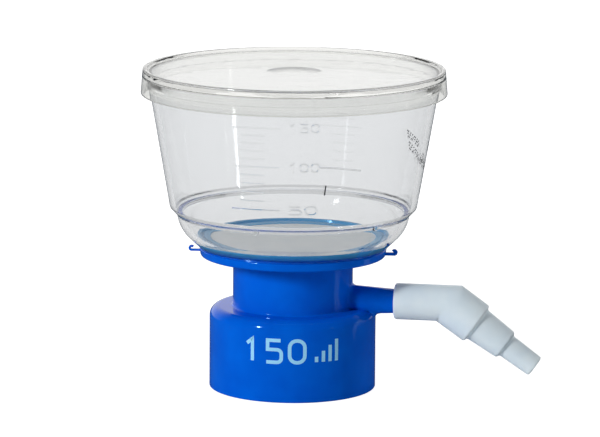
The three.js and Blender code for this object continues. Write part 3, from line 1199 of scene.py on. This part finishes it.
@dataclass(frozen=True)
class InnerPieces:
    """The sealing ring, the cotton plug in the arm, the membrane and the ring that holds it down."""

    ring_thickness: float = 1.5
    ring_width: float = 5.8
    ring_round: float = 0.25
    ring_clearance: float = 0.3
    plug_length: float = 8.0
    plug_setback: float = 2.0
    plug_round: float = 0.5
    membrane_margin: float = 0.1
    membrane_round: float = 0.08
    clamp_overlap: float = 0.6
    clamp_profile: tuple[Point, ...] = ((0.0, 0.2), (1.9, 0.45), (2.1, 0.2), (2.8, 0.25), (3.0, 0.9))
    clamp_skirt_width: float = 0.3
    clamp_skirt_depth: float = 0.5
    clamp_edge_round: float = 0.08
    bond_depth: float = 0.03

    def sealing_ring(self, base: FilterBase) -> bpy.types.Object:
        """The soft ring that the bottle's lip presses on.

        Args:
            base: the base that it sits in.

        Returns:
            The piece.
        """
        outer = base.collar_bore - self.ring_clearance
        low = UNIT.ceiling - self.ring_thickness
        corners = [
            (outer - self.ring_width, low, self.ring_round), (outer, low, self.ring_round),
            (outer, UNIT.ceiling, self.ring_round), (outer - self.ring_width, UNIT.ceiling, self.ring_round),
        ]
        mesh = turned(rounded(corners)).mesh("soft_sealing_ring")
        return placed(mesh, Body.UNIT, SEAL, ["sealing_ring"])

    def plug(self, base: FilterBase) -> bpy.types.Object:
        """The cotton that keeps liquid out of the vacuum line.

        Args:
            base: the base whose arm it sits in.

        Returns:
            The piece.
        """
        radius = base.arm_bore - self.ring_clearance
        end = base.arm_length - self.plug_setback
        corners = [
            (0.0, end - self.plug_length, 0.0), (radius, end - self.plug_length, self.plug_round),
            (radius, end, self.plug_round), (0.0, end, 0.0),
        ]
        shell = turned(rounded(corners), SMALL_SEGMENTS).moved(along_arm(UNIT.arm_height))
        return placed(shell.mesh("cotton_plug"), Body.UNIT, COTTON, ["side_arm_plug"])

    def membrane(self, base: FilterBase) -> bpy.types.Object:
        """The flat filter on its support.

        Args:
            base: the base that it lies on.

        Returns:
            The piece.
        """
        radius = base.support_radius - self.membrane_margin
        corners = [
            (0.0, UNIT.support_top, 0.0), (radius, UNIT.support_top, self.membrane_round),
            (radius, UNIT.membrane_top, self.membrane_round), (0.0, UNIT.membrane_top, 0.0),
        ]
        mesh = turned(rounded(corners)).mesh("filter_membrane")
        return placed(mesh, Body.UNIT, MEMBRANE, ["membrane"])

    def clamp_ring(self, base: FilterBase, bowl: Callable[[float], float]) -> bpy.types.Object:
        """The blue ring on the membrane's edge, whose outside follows the bowl's inner slope.

        Args:
            base: the base that it lies over.
            bowl: the radius of the funnel's inner slope at a height.

        Returns:
            The piece.
        """
        low = UNIT.membrane_top
        skirt = low - self.clamp_skirt_depth
        window = base.support_radius - self.clamp_overlap
        bond = base.support_radius - self.bond_depth
        corners = [
            (window, low, 0.0),
            (bond, low, 0.0),
            (bond, skirt, 0.0),
            (base.support_radius + self.clamp_skirt_width, skirt, 0.0),
            (bowl(low) + self.bond_depth, low, 0.0),
            (bowl(UNIT.clamp_top) + self.bond_depth, UNIT.clamp_top, self.clamp_edge_round),
        ]
        for across, up in reversed(self.clamp_profile):
            corners.append((window + across, low + up, self.clamp_edge_round))
        mesh = turned(rounded(corners)).mesh("membrane_clamp")
        # The ring's paler blue is painted light coming through the thin plastic.
        return placed(mesh, Body.UNIT, BLUE_PAINTED_THROUGH_LIGHT, ["clamp_ring"])

    def build(self, base: FilterBase, bowl: Callable[[float], float]) -> list[bpy.types.Object]:
        """Makes the four pieces in a base, under a bowl whose inner radius at a height is given."""
        return [self.sealing_ring(base), self.plug(base), self.membrane(base), self.clamp_ring(base, bowl)]


# ---------- funnel ----------


@dataclass(frozen=True)
class VolumeScale:
    """Raised lines for each 10 mL from 50 to 150, with figures at 50, 100 and 150."""

    first_height: float = 58.6
    first_step: float = 2.62
    step_loss: float = 0.045
    first_volume: int = 50
    volume_step: int = 10
    marks: int = 11
    marks_per_figure: int = 5
    short_ends: Point = (-15.3, -8.4)
    long_ends: Point = (-18.0, -3.9)
    line: Bead = Bead(0.42, 0.06, 0.3)
    first_line: Bead = Bead(0.42, 0.26, 0.3, 0.4)
    figure: Bead = Bead(0.5, 0.36, 0.3, 0.35)
    figure_left: float = -1.2
    figure_width: float = 3.3
    figure_gap: float = 1.2
    narrow_figure_width: float = 2.2
    narrow_figure_gap: float = 0.9
    figure_height: float = 2.3

    def height(self, mark: int) -> float:
        """Height of a line: the steps shrink as the funnel widens."""
        return self.first_height + mark * self.first_step - self.step_loss * mark * (mark - 1) / 2

    def beads(self, wall: RoundWall, azimuth: float, numbered: bool) -> list[Shell]:
        """The scale's lines and figures on the funnel's wall.

        Args:
            wall: the funnel's outer wall.
            azimuth: the direction of the scale's middle, in radians.
            numbered: False leaves the figures off.

        Returns:
            One closed shell for each line and figure.
        """
        shells: list[Shell] = []
        line_steps = 12
        for mark in range(self.marks):
            height = self.height(mark)
            long = mark % self.marks_per_figure == 0
            left, right = self.long_ends if long else self.short_ends
            path = [(left + (right - left) * step / line_steps, height) for step in range(line_steps + 1)]
            shells.append(stroke(path, False, self.line if mark else self.first_line, wall, azimuth))
            if long and numbered:
                volume = self.first_volume + self.volume_step * mark
                shells += self.number(volume, height, wall, azimuth)
        return shells

    def number(self, value: int, height: float, wall: RoundWall, azimuth: float) -> list[Shell]:
        """The figures beside a long line.

        Args:
            value: the number to write.
            height: the line's height.
            wall: the funnel's outer wall.
            azimuth: the direction of the scale's middle, in radians.

        Returns:
            One closed shell for each figure.
        """
        digits = figures(value)
        two = len(digits) == 2
        width = self.figure_width if two else self.narrow_figure_width
        gap = self.figure_gap if two else self.narrow_figure_gap
        shells: list[Shell] = []
        for index, digit in enumerate(digits):
            left = self.figure_left + index * (width + gap)
            path = digit.path(left, height - self.figure_height / 2, width, self.figure_height)
            shells.append(stroke(path, digit is Digit.ZERO, self.figure, wall, azimuth))
        return shells


@dataclass(frozen=True)
class Funnel:
    """The clear funnel: foot, round bowl, waist, shoulder, tapering wall and an upright band at the rim."""

    wall: float = 1.6
    foot_overhang: float = 0.2
    bowl_spread: float = 6.25
    bowl_corner_height: float = 6.1
    bowl_round: float = 10.5
    waist_spread: float = 0.4
    waist_height: float = 9.9
    waist_round: float = 0.5
    shoulder_step: float = 2.1
    shoulder_rise: float = 2.2
    shoulder_round: float = 1.0
    shelf_drop: float = 0.8
    shelf_round: float = 0.2
    shelf_fillet: float = 0.8
    taper: float = 0.1725
    band_height: float = 2.6
    band_round: float = 0.15
    rim_round: float = 0.4
    bond_depth: float = 0.03
    foot_inset: float = 0.05
    wall_loops: int = 18
    back_scale: float = math.radians(180 - 6)
    pips: tuple[Point, ...] = ((-17.9, 51.6), (43.0, 51.6))
    pip_radius: float = 0.85
    pip_round: float = 0.3

    @property
    def foot_radius(self) -> float:
        """Outer radius of the funnel's foot."""
        return FilterBase().dish_radius + self.foot_overhang

    @property
    def bowl_corner_radius(self) -> float:
        """Radius of the corner that the bowl's rounding is laid in."""
        return self.foot_radius + self.bowl_spread

    @property
    def waist_radius(self) -> float:
        """Outer radius of the waist, under the shoulder."""
        return self.bowl_corner_radius + self.waist_spread

    @property
    def outer_wall(self) -> RoundWall:
        """The funnel's outer wall above its shoulder."""
        foot = UNIT.dish_top + self.waist_height + self.shoulder_rise
        return RoundWall(self.waist_radius + self.shoulder_step, foot, self.taper)

    @property
    def rim_radius(self) -> float:
        """The funnel's outer radius at its rim."""
        return self.outer_wall.radius(UNIT.rim)

    def outside(self) -> list[Corner]:
        """The funnel's outer wall.

        Returns:
            The outer corners from the foot to the rim.
        """
        top = UNIT.dish_top
        wall = self.outer_wall
        return [
            (self.foot_radius, top, 0.0),
            (self.bowl_corner_radius, top + self.bowl_corner_height, self.bowl_round),
            (self.waist_radius, top + self.waist_height, self.waist_round),
            (wall.foot_radius, wall.foot_height, self.shoulder_round),
            (self.rim_radius, UNIT.rim, 0.0),
        ]

    def bowl_radius(self, height: float) -> float:
        """Radius of the bowl's inner slope at a height near its foot."""
        foot, corner = inset(self.outside(), self.wall)[:2]
        return radius_at(foot, corner, height)

    def shell(self, base: FilterBase) -> Shell:
        """The funnel's wall, inside and out, turned about the axis.

        Args:
            base: the base that it stands on.

        Returns:
            The wall as a closed shell.
        """
        outer = self.outside()
        foot, corner, waist, shoulder, rim_corner = inset(outer, self.wall)
        top = UNIT.dish_top
        shelf = self.outer_wall.foot_height - self.shelf_drop
        rim = self.rim_radius
        band = UNIT.rim - self.band_height
        band_foot = (self.outer_wall.radius(band), band, self.band_round)
        window = base.support_radius - self.bond_depth
        corners = [
            (window, top - self.bond_depth, 0.0),
            (base.dish_radius - self.foot_inset, top - self.bond_depth, 0.0),
            *outer[1:-1],
            *between(outer[-2], band_foot, self.wall_loops),
            band_foot,
            (rim, band, self.band_round),
            (rim, UNIT.rim, self.rim_round),
            (rim - self.wall, UNIT.rim, self.rim_round),
            (radius_at(shoulder, rim_corner, shelf), shelf, self.shelf_fillet),
            (radius_at(corner, waist, shelf), shelf, self.shelf_round),
            corner,
            (radius_at(foot, corner, UNIT.membrane_top), UNIT.membrane_top + self.bond_depth, 0.0),
            (window, UNIT.membrane_top + self.bond_depth, 0.0),
        ]
        arc_step = math.radians(6)
        return turned(rounded(corners, arc_step))

    def pip(self, azimuth: float, height: float) -> Shell:
        """A small round pip that the mould leaves on the waist.

        Args:
            azimuth: its direction from the front, in degrees.
            height: its height.

        Returns:
            The pip, with its root inside the wall.
        """
        segments = 24
        outline = rounded(
            [
                (0.0, -self.wall / 2, 0.0), (self.pip_radius, -self.wall / 2, 0.0),
                (self.pip_radius, self.pip_radius, self.pip_round), (0.0, self.pip_radius, 0.0),
            ]
        )
        angle = FRONT + math.radians(azimuth)
        turn = Matrix.Rotation(angle, 4, "Z") @ Matrix.Translation((0, -self.waist_radius, height))
        return turned(outline, segments).moved(turn @ Matrix.Rotation(math.pi / 2, 4, "X"))

    def build(self, base: FilterBase, scale: VolumeScale) -> list[bpy.types.Object]:
        """Makes the funnel with its raised scales as one clear solid.

        Args:
            base: the base that it stands on.
            scale: the scale on its wall.

        Returns:
            The piece, in a list.
        """
        mesh = self.shell(base).mesh("clear_funnel")
        beads = scale.beads(self.outer_wall, FRONT, numbered=True)
        beads += scale.beads(self.outer_wall, FRONT + self.back_scale, numbered=False)
        beads += [self.pip(azimuth, height) for azimuth, height in self.pips]
        mesh = carved(mesh, beads[0].joined(beads[1:]), Carving.ADD)
        return [placed(mesh, Body.UNIT, CLEAR_FUNNEL, ["funnel"])]


@dataclass(frozen=True)
class InkMarks:
    """Sprayed dots of a batch code on the funnel's right side, and one short tick at its front."""

    code: tuple[tuple[Point, Point, int, int], ...] = (
        ((37.4, 79.9), (44.8, 75.3), 14, 3),
        ((38.6, 76.2), (48.3, 69.3), 18, 3),
        ((48.9, 71.1), (56.1, 66.5), 14, 4),
    )
    row_pitch: float = 0.66
    dot_radius: float = 0.25
    dot_segments: int = 10
    group_width: int = 5
    column_stride: int = 3
    row_stride: int = 5
    scatter: int = 7
    last_kept: int = 3
    film: float = 0.03
    lift: float = 0.012
    tick: tuple[Point, Point] = ((9.2, 66.0), (8.8, 63.1))
    tick_width: float = 0.38
    tick_crown: float = 0.95

    def printed(self, column: int, row: int) -> bool:
        """Whether a dot falls here: a set scatter in groups with gaps, which spells nothing.

        Args:
            column: the place along the row.
            row: which row.

        Returns:
            True where there is a dot.
        """
        in_group = column % self.group_width != self.group_width - 1
        draw = column * self.column_stride + row * row * self.row_stride + column * row
        return in_group and draw % self.scatter <= self.last_kept

    def dot(self, wall: RoundWall, along: float, height: float) -> Shell:
        """A flat round dot of ink on the funnel.

        Args:
            wall: the funnel's outer wall.
            along: the length round the wall from the front.
            height: the dot's height.

        Returns:
            The dot as a closed shell.
        """
        point, normal = wall.place(FRONT, along, height)
        tilt = normal.to_track_quat("Z", "Y").to_matrix().to_4x4()
        outline = [(0.0, 0.0), (self.dot_radius, 0.0), (self.dot_radius, self.film), (0.0, self.film)]
        move = Matrix.Translation(point + normal * self.lift) @ tilt
        return turned(outline, self.dot_segments).moved(move)

    def build(self, wall: RoundWall) -> list[bpy.types.Object]:
        """Lays the dots and the tick on the funnel as thin films.

        Args:
            wall: the funnel's outer wall.

        Returns:
            The dots and the tick.
        """
        dots: list[Shell] = []
        for first, last, columns, rows in self.code:
            start, end = Vector(first), Vector(last)
            across = Vector((start.y - end.y, end.x - start.x)).normalized() * self.row_pitch
            for column in range(columns):
                for row in range(rows):
                    if self.printed(column, row):
                        place = start.lerp(end, column / (columns - 1)) - across * row
                        dots.append(self.dot(wall, place.x, place.y))
        code = placed(dots[0].joined(dots[1:]).mesh("batch_dots"), Body.UNIT, CODE_INK)
        bead = Bead(self.tick_width, self.lift + self.film, -self.lift, self.tick_crown)
        tick = stroke(self.tick, False, bead, wall, FRONT)
        return [code, placed(tick.mesh("ink_tick"), Body.UNIT, CODE_INK)]


# ---------- lid ----------


@dataclass(frozen=True)
class Lid:
    """The clear lid: a flat panel with a raised rim, a shallow recess and a skirt round the funnel's rim."""

    panel_thickness: float = 1.4
    rim_rise: float = 0.9
    rim_width: float = 1.1
    rim_foot_round: float = 0.4
    rim_inner_round: float = 0.45
    skirt_wall: float = 1.1
    skirt_flare: float = 0.105
    edge_round: float = 0.45
    inner_round: float = 0.3
    recess_flat: float = 3.5
    recess_radius: float = 8.1
    recess_depth: float = 0.5
    recess_loops: int = 8
    clearance: float = 0.3
    tick_bead: Bead = Bead(0.5, 0.2, 0.3)
    tick_along: Point = (5.2, 6.3)
    tick_heights: Point = (92.0, 88.4)

    def recess(self, panel: float) -> list[Corner]:
        """The shallow recess, which climbs ever more steeply from its flat middle.

        Args:
            panel: the height of the panel's top.

        Returns:
            The recess's corners, from its middle outwards.
        """
        corners: list[Corner] = []
        for loop in range(self.recess_loops + 1):
            share = loop / self.recess_loops
            radius = self.recess_flat + (self.recess_radius - self.recess_flat) * share
            corners.append((radius, panel - self.recess_depth * (1 - share * share), 0.0))
        return corners

    def build(self, funnel: Funnel) -> list[bpy.types.Object]:
        """Makes the lid with the small raised tick on its skirt.

        Args:
            funnel: the funnel that it closes.

        Returns:
            The piece, in a list.
        """
        panel = UNIT.rim + self.panel_thickness
        bore = funnel.rim_radius + self.clearance
        depth = UNIT.rim - UNIT.skirt_edge
        skirt_top = bore + self.skirt_wall - self.rim_rise * self.skirt_flare
        skirt_inner = bore + depth * self.skirt_flare
        skirt_outer = skirt_inner + self.skirt_wall
        corners = [
            (0.0, panel - self.recess_depth, 0.0),
            *self.recess(panel),
            (skirt_top - self.rim_width - self.rim_rise / 2, panel, self.rim_foot_round),
            (skirt_top - self.rim_width, UNIT.lid_top, self.rim_inner_round),
            (skirt_top, UNIT.lid_top, self.edge_round),
            (skirt_outer, UNIT.skirt_edge, self.edge_round),
            (skirt_inner, UNIT.skirt_edge, self.edge_round),
            (bore, UNIT.rim, self.inner_round),
            (0.0, UNIT.rim, 0.0),
        ]
        mesh = turned(rounded(corners)).mesh("clear_lid")
        taper = -(skirt_outer - skirt_top) / (UNIT.lid_top - UNIT.skirt_edge)
        wall = RoundWall(skirt_outer, UNIT.skirt_edge, taper)
        path = list(zip(self.tick_along, self.tick_heights))
        mesh = carved(mesh, stroke(path, False, self.tick_bead, wall, FRONT), Carving.ADD)
        return [placed(mesh, Body.UNIT, CLEAR_LID, ["lid"])]


# ---------- hose connector ----------


@dataclass(frozen=True)
class Step:
    """One step of the nozzle, from its start towards the tip."""

    start: float
    end: float
    length: float


@dataclass(frozen=True)
class HoseConnector:
    """The pale elbow on the arm: a socket, a bend and three steps for hoses of different bores."""

    socket_mouth: float = 30.2
    socket_radius: float = 5.3
    mouth_round: float = 0.7
    bend_distance: float = 46.05
    bend_angle: float = 35.0
    steps: tuple[Step, ...] = (Step(6.45, 6.35, 10.0), Step(5.15, 4.5, 10.4), Step(3.5, 3.2, 10.6))
    ledge_round: float = 0.7
    ledge_fillet: float = 0.8
    bore: float = 2.3
    tip_bore: float = 1.8
    tip_round: float = 0.5
    clearance: float = 0.3

    def ring(self, centre: Vector, up: Vector, rise: float, width: float) -> list[Vector]:
        """A ring of points round the connector.

        Args:
            centre: the ring's middle.
            up: the unit direction of its height.
            rise: its half-axis along up.
            width: its half-axis along Y.

        Returns:
            The ring's points.
        """
        turns = [2 * math.pi * step / SMALL_SEGMENTS for step in range(SMALL_SEGMENTS)]
        across = Vector((0, 1, 0))
        return [centre + up * (rise * math.sin(turn)) + across * (width * math.cos(turn)) for turn in turns]

    def along_socket(self, distance: float, radius: float) -> list[Vector]:
        """A round ring square to the arm."""
        return self.ring(Vector((distance, 0, UNIT.arm_height)), Vector((0, 0, 1)), radius, radius)

    def along_nozzle(self, distance: float, rise: float, width: float) -> list[Vector]:
        """A ring square to the nozzle.

        Args:
            distance: how far it is from the bend.
            rise: its half-height.
            width: its half-width.

        Returns:
            The ring's points.
        """
        bend = math.radians(self.bend_angle)
        axis = Vector((math.cos(bend), 0, -math.sin(bend)))
        up = Vector((math.sin(bend), 0, math.cos(bend)))
        centre = Vector((self.bend_distance, 0, UNIT.arm_height))
        return self.ring(centre + axis * distance, up, rise, width)

    def profile(self) -> list[Point]:
        """The nozzle's outline from the bend to the bore at its tip.

        Returns:
            Distances from the bend, and radii.
        """
        corners: list[Corner] = [(0.0, self.steps[0].start, 0.0)]
        distance = 0.0
        for index, step in enumerate(self.steps):
            if index:
                corners.append((distance, step.start, self.ledge_fillet))
            distance += step.length
            corners.append((distance, step.end, self.ledge_round))
        corners += [(distance, self.tip_bore, self.tip_round), (distance - self.tip_bore, self.tip_bore, 0.0)]
        return rounded(corners)[1:]

    def build(self, base: FilterBase) -> list[bpy.types.Object]:
        """Lofts the connector through its rings, outside and then back through the bore.

        Args:
            base: the base whose arm it is pushed on.

        Returns:
            The piece, in a list.
        """
        bend = math.radians(self.bend_angle)
        mouth = rounded(
            [
                (self.socket_mouth, base.arm_middle_radius + self.clearance, 0.0),
                (self.socket_mouth, self.socket_radius, self.mouth_round),
                (self.bend_distance, self.socket_radius, 0.0),
            ]
        )[1:-1]
        rings = [self.along_socket(distance, radius) for distance, radius in mouth]
        socket_loops = 6
        last = mouth[-1][0]
        for loop in range(1, socket_loops):
            distance = last + (self.bend_distance - last) * loop / socket_loops
            if distance < self.bend_distance - self.socket_radius * math.tan(bend / 2):
                rings.append(self.along_socket(distance, self.socket_radius))
        first = self.profile()[0]
        bend_rise = self.socket_radius / math.cos(bend)
        blend_rings = 5
        for loop in range(blend_rings):
            share = loop / blend_rings
            ease = share * share * (3 - 2 * share)
            rise = bend_rise + (first[1] - bend_rise) * ease
            width = self.socket_radius + (first[1] - self.socket_radius) * share
            rings.append(self.along_nozzle(first[0] * share, rise, width))
        rings += [self.along_nozzle(distance, radius, radius) for distance, radius in self.profile()]
        socket_end = base.arm_length + self.clearance
        rings.append(self.along_nozzle(0.0, self.bore / math.cos(bend), self.bore))
        rings.append(self.along_socket(socket_end, self.bore))
        rings.append(self.along_socket(socket_end, base.arm_tip_radius + self.clearance))
        rings.append(self.along_socket(self.socket_mouth, base.arm_middle_radius + self.clearance))
        mesh = lofted(rings, looped=True).mesh("hose_elbow")
        return [placed(mesh, Body.CONNECTOR, PALE, ["hose_connector"])]


# ---------- studio ----------


@dataclass(frozen=True)
class Ramp:
    """A smooth change of a level from start to end, while what drives it goes from low to high."""

    low: float
    high: float
    start: float
    end: float

    def inputs(self, driver: bpy.types.NodeSocket) -> dict[str, Any]:
        """The settings of a node that runs the ramp.

        Args:
            driver: the output socket that drives it.

        Returns:
            The node's inputs.
        """
        return {
            "Value": driver,
            "From Min": self.low,
            "From Max": self.high,
            "To Min": self.start,
            "To Max": self.end,
        }


@dataclass(frozen=True)
class Lamp:
    """An area lamp that looks at the unit: angles in degrees, lengths in metres, power in watts."""

    name: str
    azimuth: float
    elevation: float
    distance: float
    width: float
    height: float
    power: float


@dataclass(frozen=True)
class Studio:
    """Pale floor, soft lamps, bright surroundings and the camera, in degrees and metres.

    A ramp of the surroundings runs over how high, how far back or how far to the right a direction
    points, from -1 to 1. The floor's runs over the distance from the unit, in metres.
    """

    look_height: float = 0.0496125
    look_right: float = 0.00195
    camera_distance: float = 1.18179
    camera_height: float = 0.27064
    camera_roll: float = 0.408
    lens: float = 247.66
    view_reach: float = 10.0
    floor_radius: float = 1.6
    floor_thickness: float = 0.002
    floor_drop: float = 0.00002
    floor_segments: int = 96
    paper: str = "#f0f0f0"
    paper_mirrored: str = "#4c5a66"
    paper_shown: str = "#bcbcbc"
    floor_level: Ramp = Ramp(0.1, 0.5, 0.88, 1.0)
    floor_dimming: float = 0.18
    backdrop: Ramp = Ramp(-0.1, 0.5, 0.03, 1.0)
    backdrop_mirrored: Ramp = Ramp(0.3, 0.95, 0.03, 0.93)
    backdrop_through: Ramp = Ramp(0.45, 0.9, 0.84, 0.7)
    overhead: Ramp = Ramp(0.45, 0.75, 1.0, 0.12)
    ceiling: Ramp = Ramp(0.3, 0.9, 0.0, 0.3)
    fill: Ramp = Ramp(0.5, 1.0, 0.0, 0.9)
    fill_azimuth: float = 110.0
    fill_elevation: float = 5.0
    clear_bounces: int = 96
    lamps: tuple[Lamp, ...] = (
        Lamp("key_softbox", -49.0, 21.0, 1.3, 0.1, 0.28, 12.0),
        Lamp("right_strip", 56.5, 9.2, 1.2, 0.045, 0.14, 0.22),
        Lamp("left_strip", -50.5, 9.2, 1.2, 0.03, 0.14, 0.035),
    )

    def towards(self, azimuth: float, elevation: float) -> Vector:
        """A direction from the unit.

        Args:
            azimuth: the angle to the right of the camera, in degrees.
            elevation: the angle over the floor, in degrees.

        Returns:
            The unit direction.
        """
        turn = FRONT + math.radians(azimuth)
        rise = math.radians(elevation)
        return Vector((math.sin(turn) * math.cos(rise), -math.cos(turn) * math.cos(rise), math.sin(rise)))

    def camera(self) -> None:
        """Sets the camera in front of the unit, a little above it."""
        axis = Vector((UNIT.axis_x * MM, 0, 0))
        right = Vector((math.cos(FRONT), math.sin(FRONT), 0))
        place = axis + self.towards(0, 0) * self.camera_distance + Vector((0, 0, self.camera_height))
        aim = axis + right * self.look_right + Vector((0, 0, self.look_height))
        data = bpy.data.cameras.new("front_camera")
        data.lens = self.lens
        data.clip_end = self.view_reach
        camera = bpy.data.objects.new("front_camera", data)
        bpy.context.scene.collection.objects.link(camera)
        roll = Matrix.Rotation(math.radians(self.camera_roll), 4, "Z")
        look = (aim - place).to_track_quat("-Z", "Y").to_matrix().to_4x4()
        camera.matrix_world = Matrix.Translation(place) @ look @ roll
        bpy.context.scene.camera = camera

    def floor(self) -> None:
        """A wide pale disc that looks white and still takes the unit's shadow.

        Camera rays, and rays through the clear plastic, see it bright. Gloss mirrors it as dim, so
        that the plastic keeps its colour, and soft light bounces from it as from matt paper.
        """
        rim, foot, top = self.floor_radius / MM, -self.floor_thickness / MM, -self.floor_drop / MM
        disc = turned([(0.0, foot), (rim, foot), (rim, top), (0.0, top)], self.floor_segments)
        mesh = disc.mesh("pale_floor")
        floor = bpy.data.objects.new("pale_floor", mesh)
        bpy.context.scene.collection.objects.link(floor)
        material = bpy.data.materials.new("paper_matt_white")
        material.use_nodes = True
        tree = material.node_tree
        tree.nodes.clear()
        path = add_node(tree, "ShaderNodeLightPath")
        seen = add_node(
            tree, "ShaderNodeMath", {"operation": "MAXIMUM"},
            {0: path.outputs["Is Camera Ray"], 1: path.outputs["Is Transmission Ray"]},
        )
        shade = add_node(
            tree, "ShaderNodeMix", {"data_type": "RGBA"},
            {0: path.outputs["Is Glossy Ray"], 6: srgb(self.paper), 7: srgb(self.paper_mirrored)},
        ).outputs[2]
        paper = add_node(tree, "ShaderNodeBsdfDiffuse", inputs={"Color": shade})
        place = add_node(tree, "ShaderNodeTexCoord").outputs["Object"]
        reach = add_node(tree, "ShaderNodeVectorMath", {"operation": "LENGTH"}, {0: place}).outputs["Value"]
        level = add_node(
            tree, "ShaderNodeMapRange", SMOOTH, self.floor_level.inputs(reach)
        ).outputs["Result"]
        shown = add_node(tree, "ShaderNodeBsdfDiffuse", inputs={"Color": srgb(self.paper_shown)})
        strength = add_node(
            tree, "ShaderNodeMath", {"operation": "MULTIPLY_ADD"},
            {0: path.outputs["Is Transmission Ray"], 1: -self.floor_dimming, 2: level},
        ).outputs[0]
        glow = add_node(tree, "ShaderNodeEmission", inputs={"Color": (1, 1, 1, 1), "Strength": strength})
        lit = add_node(tree, "ShaderNodeAddShader", inputs={0: shown.outputs[0], 1: glow.outputs[0]})
        mix = add_node(
            tree, "ShaderNodeMixShader",
            inputs={0: seen.outputs[0], 1: paper.outputs[0], 2: lit.outputs[0]},
        )
        add_node(tree, "ShaderNodeOutputMaterial", inputs={"Surface": mix.outputs[0]})
        mesh.materials.append(material)

    def lights(self) -> None:
        """The lamps, each turned to the unit's middle."""
        middle = Vector((UNIT.axis_x * MM, 0, self.look_height))
        for lamp in self.lamps:
            data = bpy.data.lights.new(lamp.name, "AREA")
            data.shape = "RECTANGLE"
            data.size = lamp.width
            data.size_y = lamp.height
            data.energy = lamp.power
            light = bpy.data.objects.new(lamp.name, data)
            bpy.context.scene.collection.objects.link(light)
            direction = self.towards(lamp.azimuth, lamp.elevation)
            turn = (-direction).to_track_quat("-Z", "Y").to_matrix().to_4x4()
            light.matrix_world = Matrix.Translation(middle + direction * lamp.distance) @ turn

    def surroundings(self) -> None:
        """White behind the unit, dim in front of it and above it, and plain white for the camera.

        Soft light also comes from the ceiling and from the right. Gloss mirrors a narrower backdrop,
        and clear plastic lets a nearly even light through, so that only its edges draw lines.
        """
        world = bpy.data.worlds.new("studio")
        world.use_nodes = True
        tree = world.node_tree
        tree.nodes.clear()
        direction = add_node(tree, "ShaderNodeTexCoord").outputs["Generated"]
        height = add_node(tree, "ShaderNodeSeparateXYZ", inputs={0: direction}).outputs["Z"]
        behind, sideways = (
            add_node(
                tree, "ShaderNodeVectorMath", {"operation": "DOT_PRODUCT"}, {0: direction, 1: towards}
            ).outputs["Value"]
            for towards in (-self.towards(0, 0), self.towards(self.fill_azimuth, self.fill_elevation))
        )
        overhead, backdrop, mirrored, through, ceiling, fill = (
            add_node(tree, "ShaderNodeMapRange", SMOOTH, ramp.inputs(driver)).outputs["Result"]
            for ramp, driver in (
                (self.overhead, height), (self.backdrop, behind), (self.backdrop_mirrored, behind),
                (self.backdrop_through, height), (self.ceiling, height), (self.fill, sideways),
            )
        )
        extra = add_node(tree, "ShaderNodeMath", {"operation": "ADD"}, {0: ceiling, 1: fill}).outputs[0]
        soft = add_node(
            tree, "ShaderNodeMath", {"operation": "MULTIPLY_ADD"}, {0: backdrop, 1: overhead, 2: extra}
        ).outputs[0]
        level = add_node(
            tree, "ShaderNodeMath", {"operation": "MULTIPLY"}, {0: mirrored, 1: overhead}
        ).outputs[0]
        path = add_node(tree, "ShaderNodeLightPath")
        for ray, seen in (("Is Diffuse Ray", soft), ("Is Transmission Ray", through), ("Is Camera Ray", 1.0)):
            level = add_node(
                tree, "ShaderNodeMix", {"data_type": "FLOAT"}, {0: path.outputs[ray], 2: level, 3: seen}
            ).outputs[0]
        light = add_node(tree, "ShaderNodeBackground", inputs={"Strength": level})
        light.inputs["Color"].default_value = (1, 1, 1, 1)
        add_node(tree, "ShaderNodeOutputWorld", inputs={"Surface": light.outputs[0]})
        bpy.context.scene.world = world

    def build(self) -> None:
        """Sets up the whole studio, with bounces enough for light to pass every clear wall."""
        self.camera()
        self.floor()
        self.lights()
        self.surroundings()
        scene = bpy.context.scene
        scene.view_settings.view_transform = "Standard"
        scene.cycles.max_bounces = self.clear_bounces
        scene.cycles.transmission_bounces = self.clear_bounces
        scene.cycles.transparent_max_bounces = self.clear_bounces
        scene.cycles.glossy_bounces = self.clear_bounces // 2


def main() -> None:
    """Sets up the studio, builds the unit's pieces, and logs how many there are."""
    logging.basicConfig(level=logging.INFO, format="%(name)s: %(message)s")
    base = FilterBase()
    funnel = Funnel()
    Studio().build()
    pieces = base.build()
    pieces += CollarPrint().build(base)
    pieces += InnerPieces().build(base, funnel.bowl_radius)
    pieces += funnel.build(base, VolumeScale())
    pieces += InkMarks().build(funnel.outer_wall)
    pieces += Lid().build(funnel)
    pieces += HoseConnector().build(base)
    log.info("%d pieces", len(pieces))


if __name__ == "__main__":
    main()
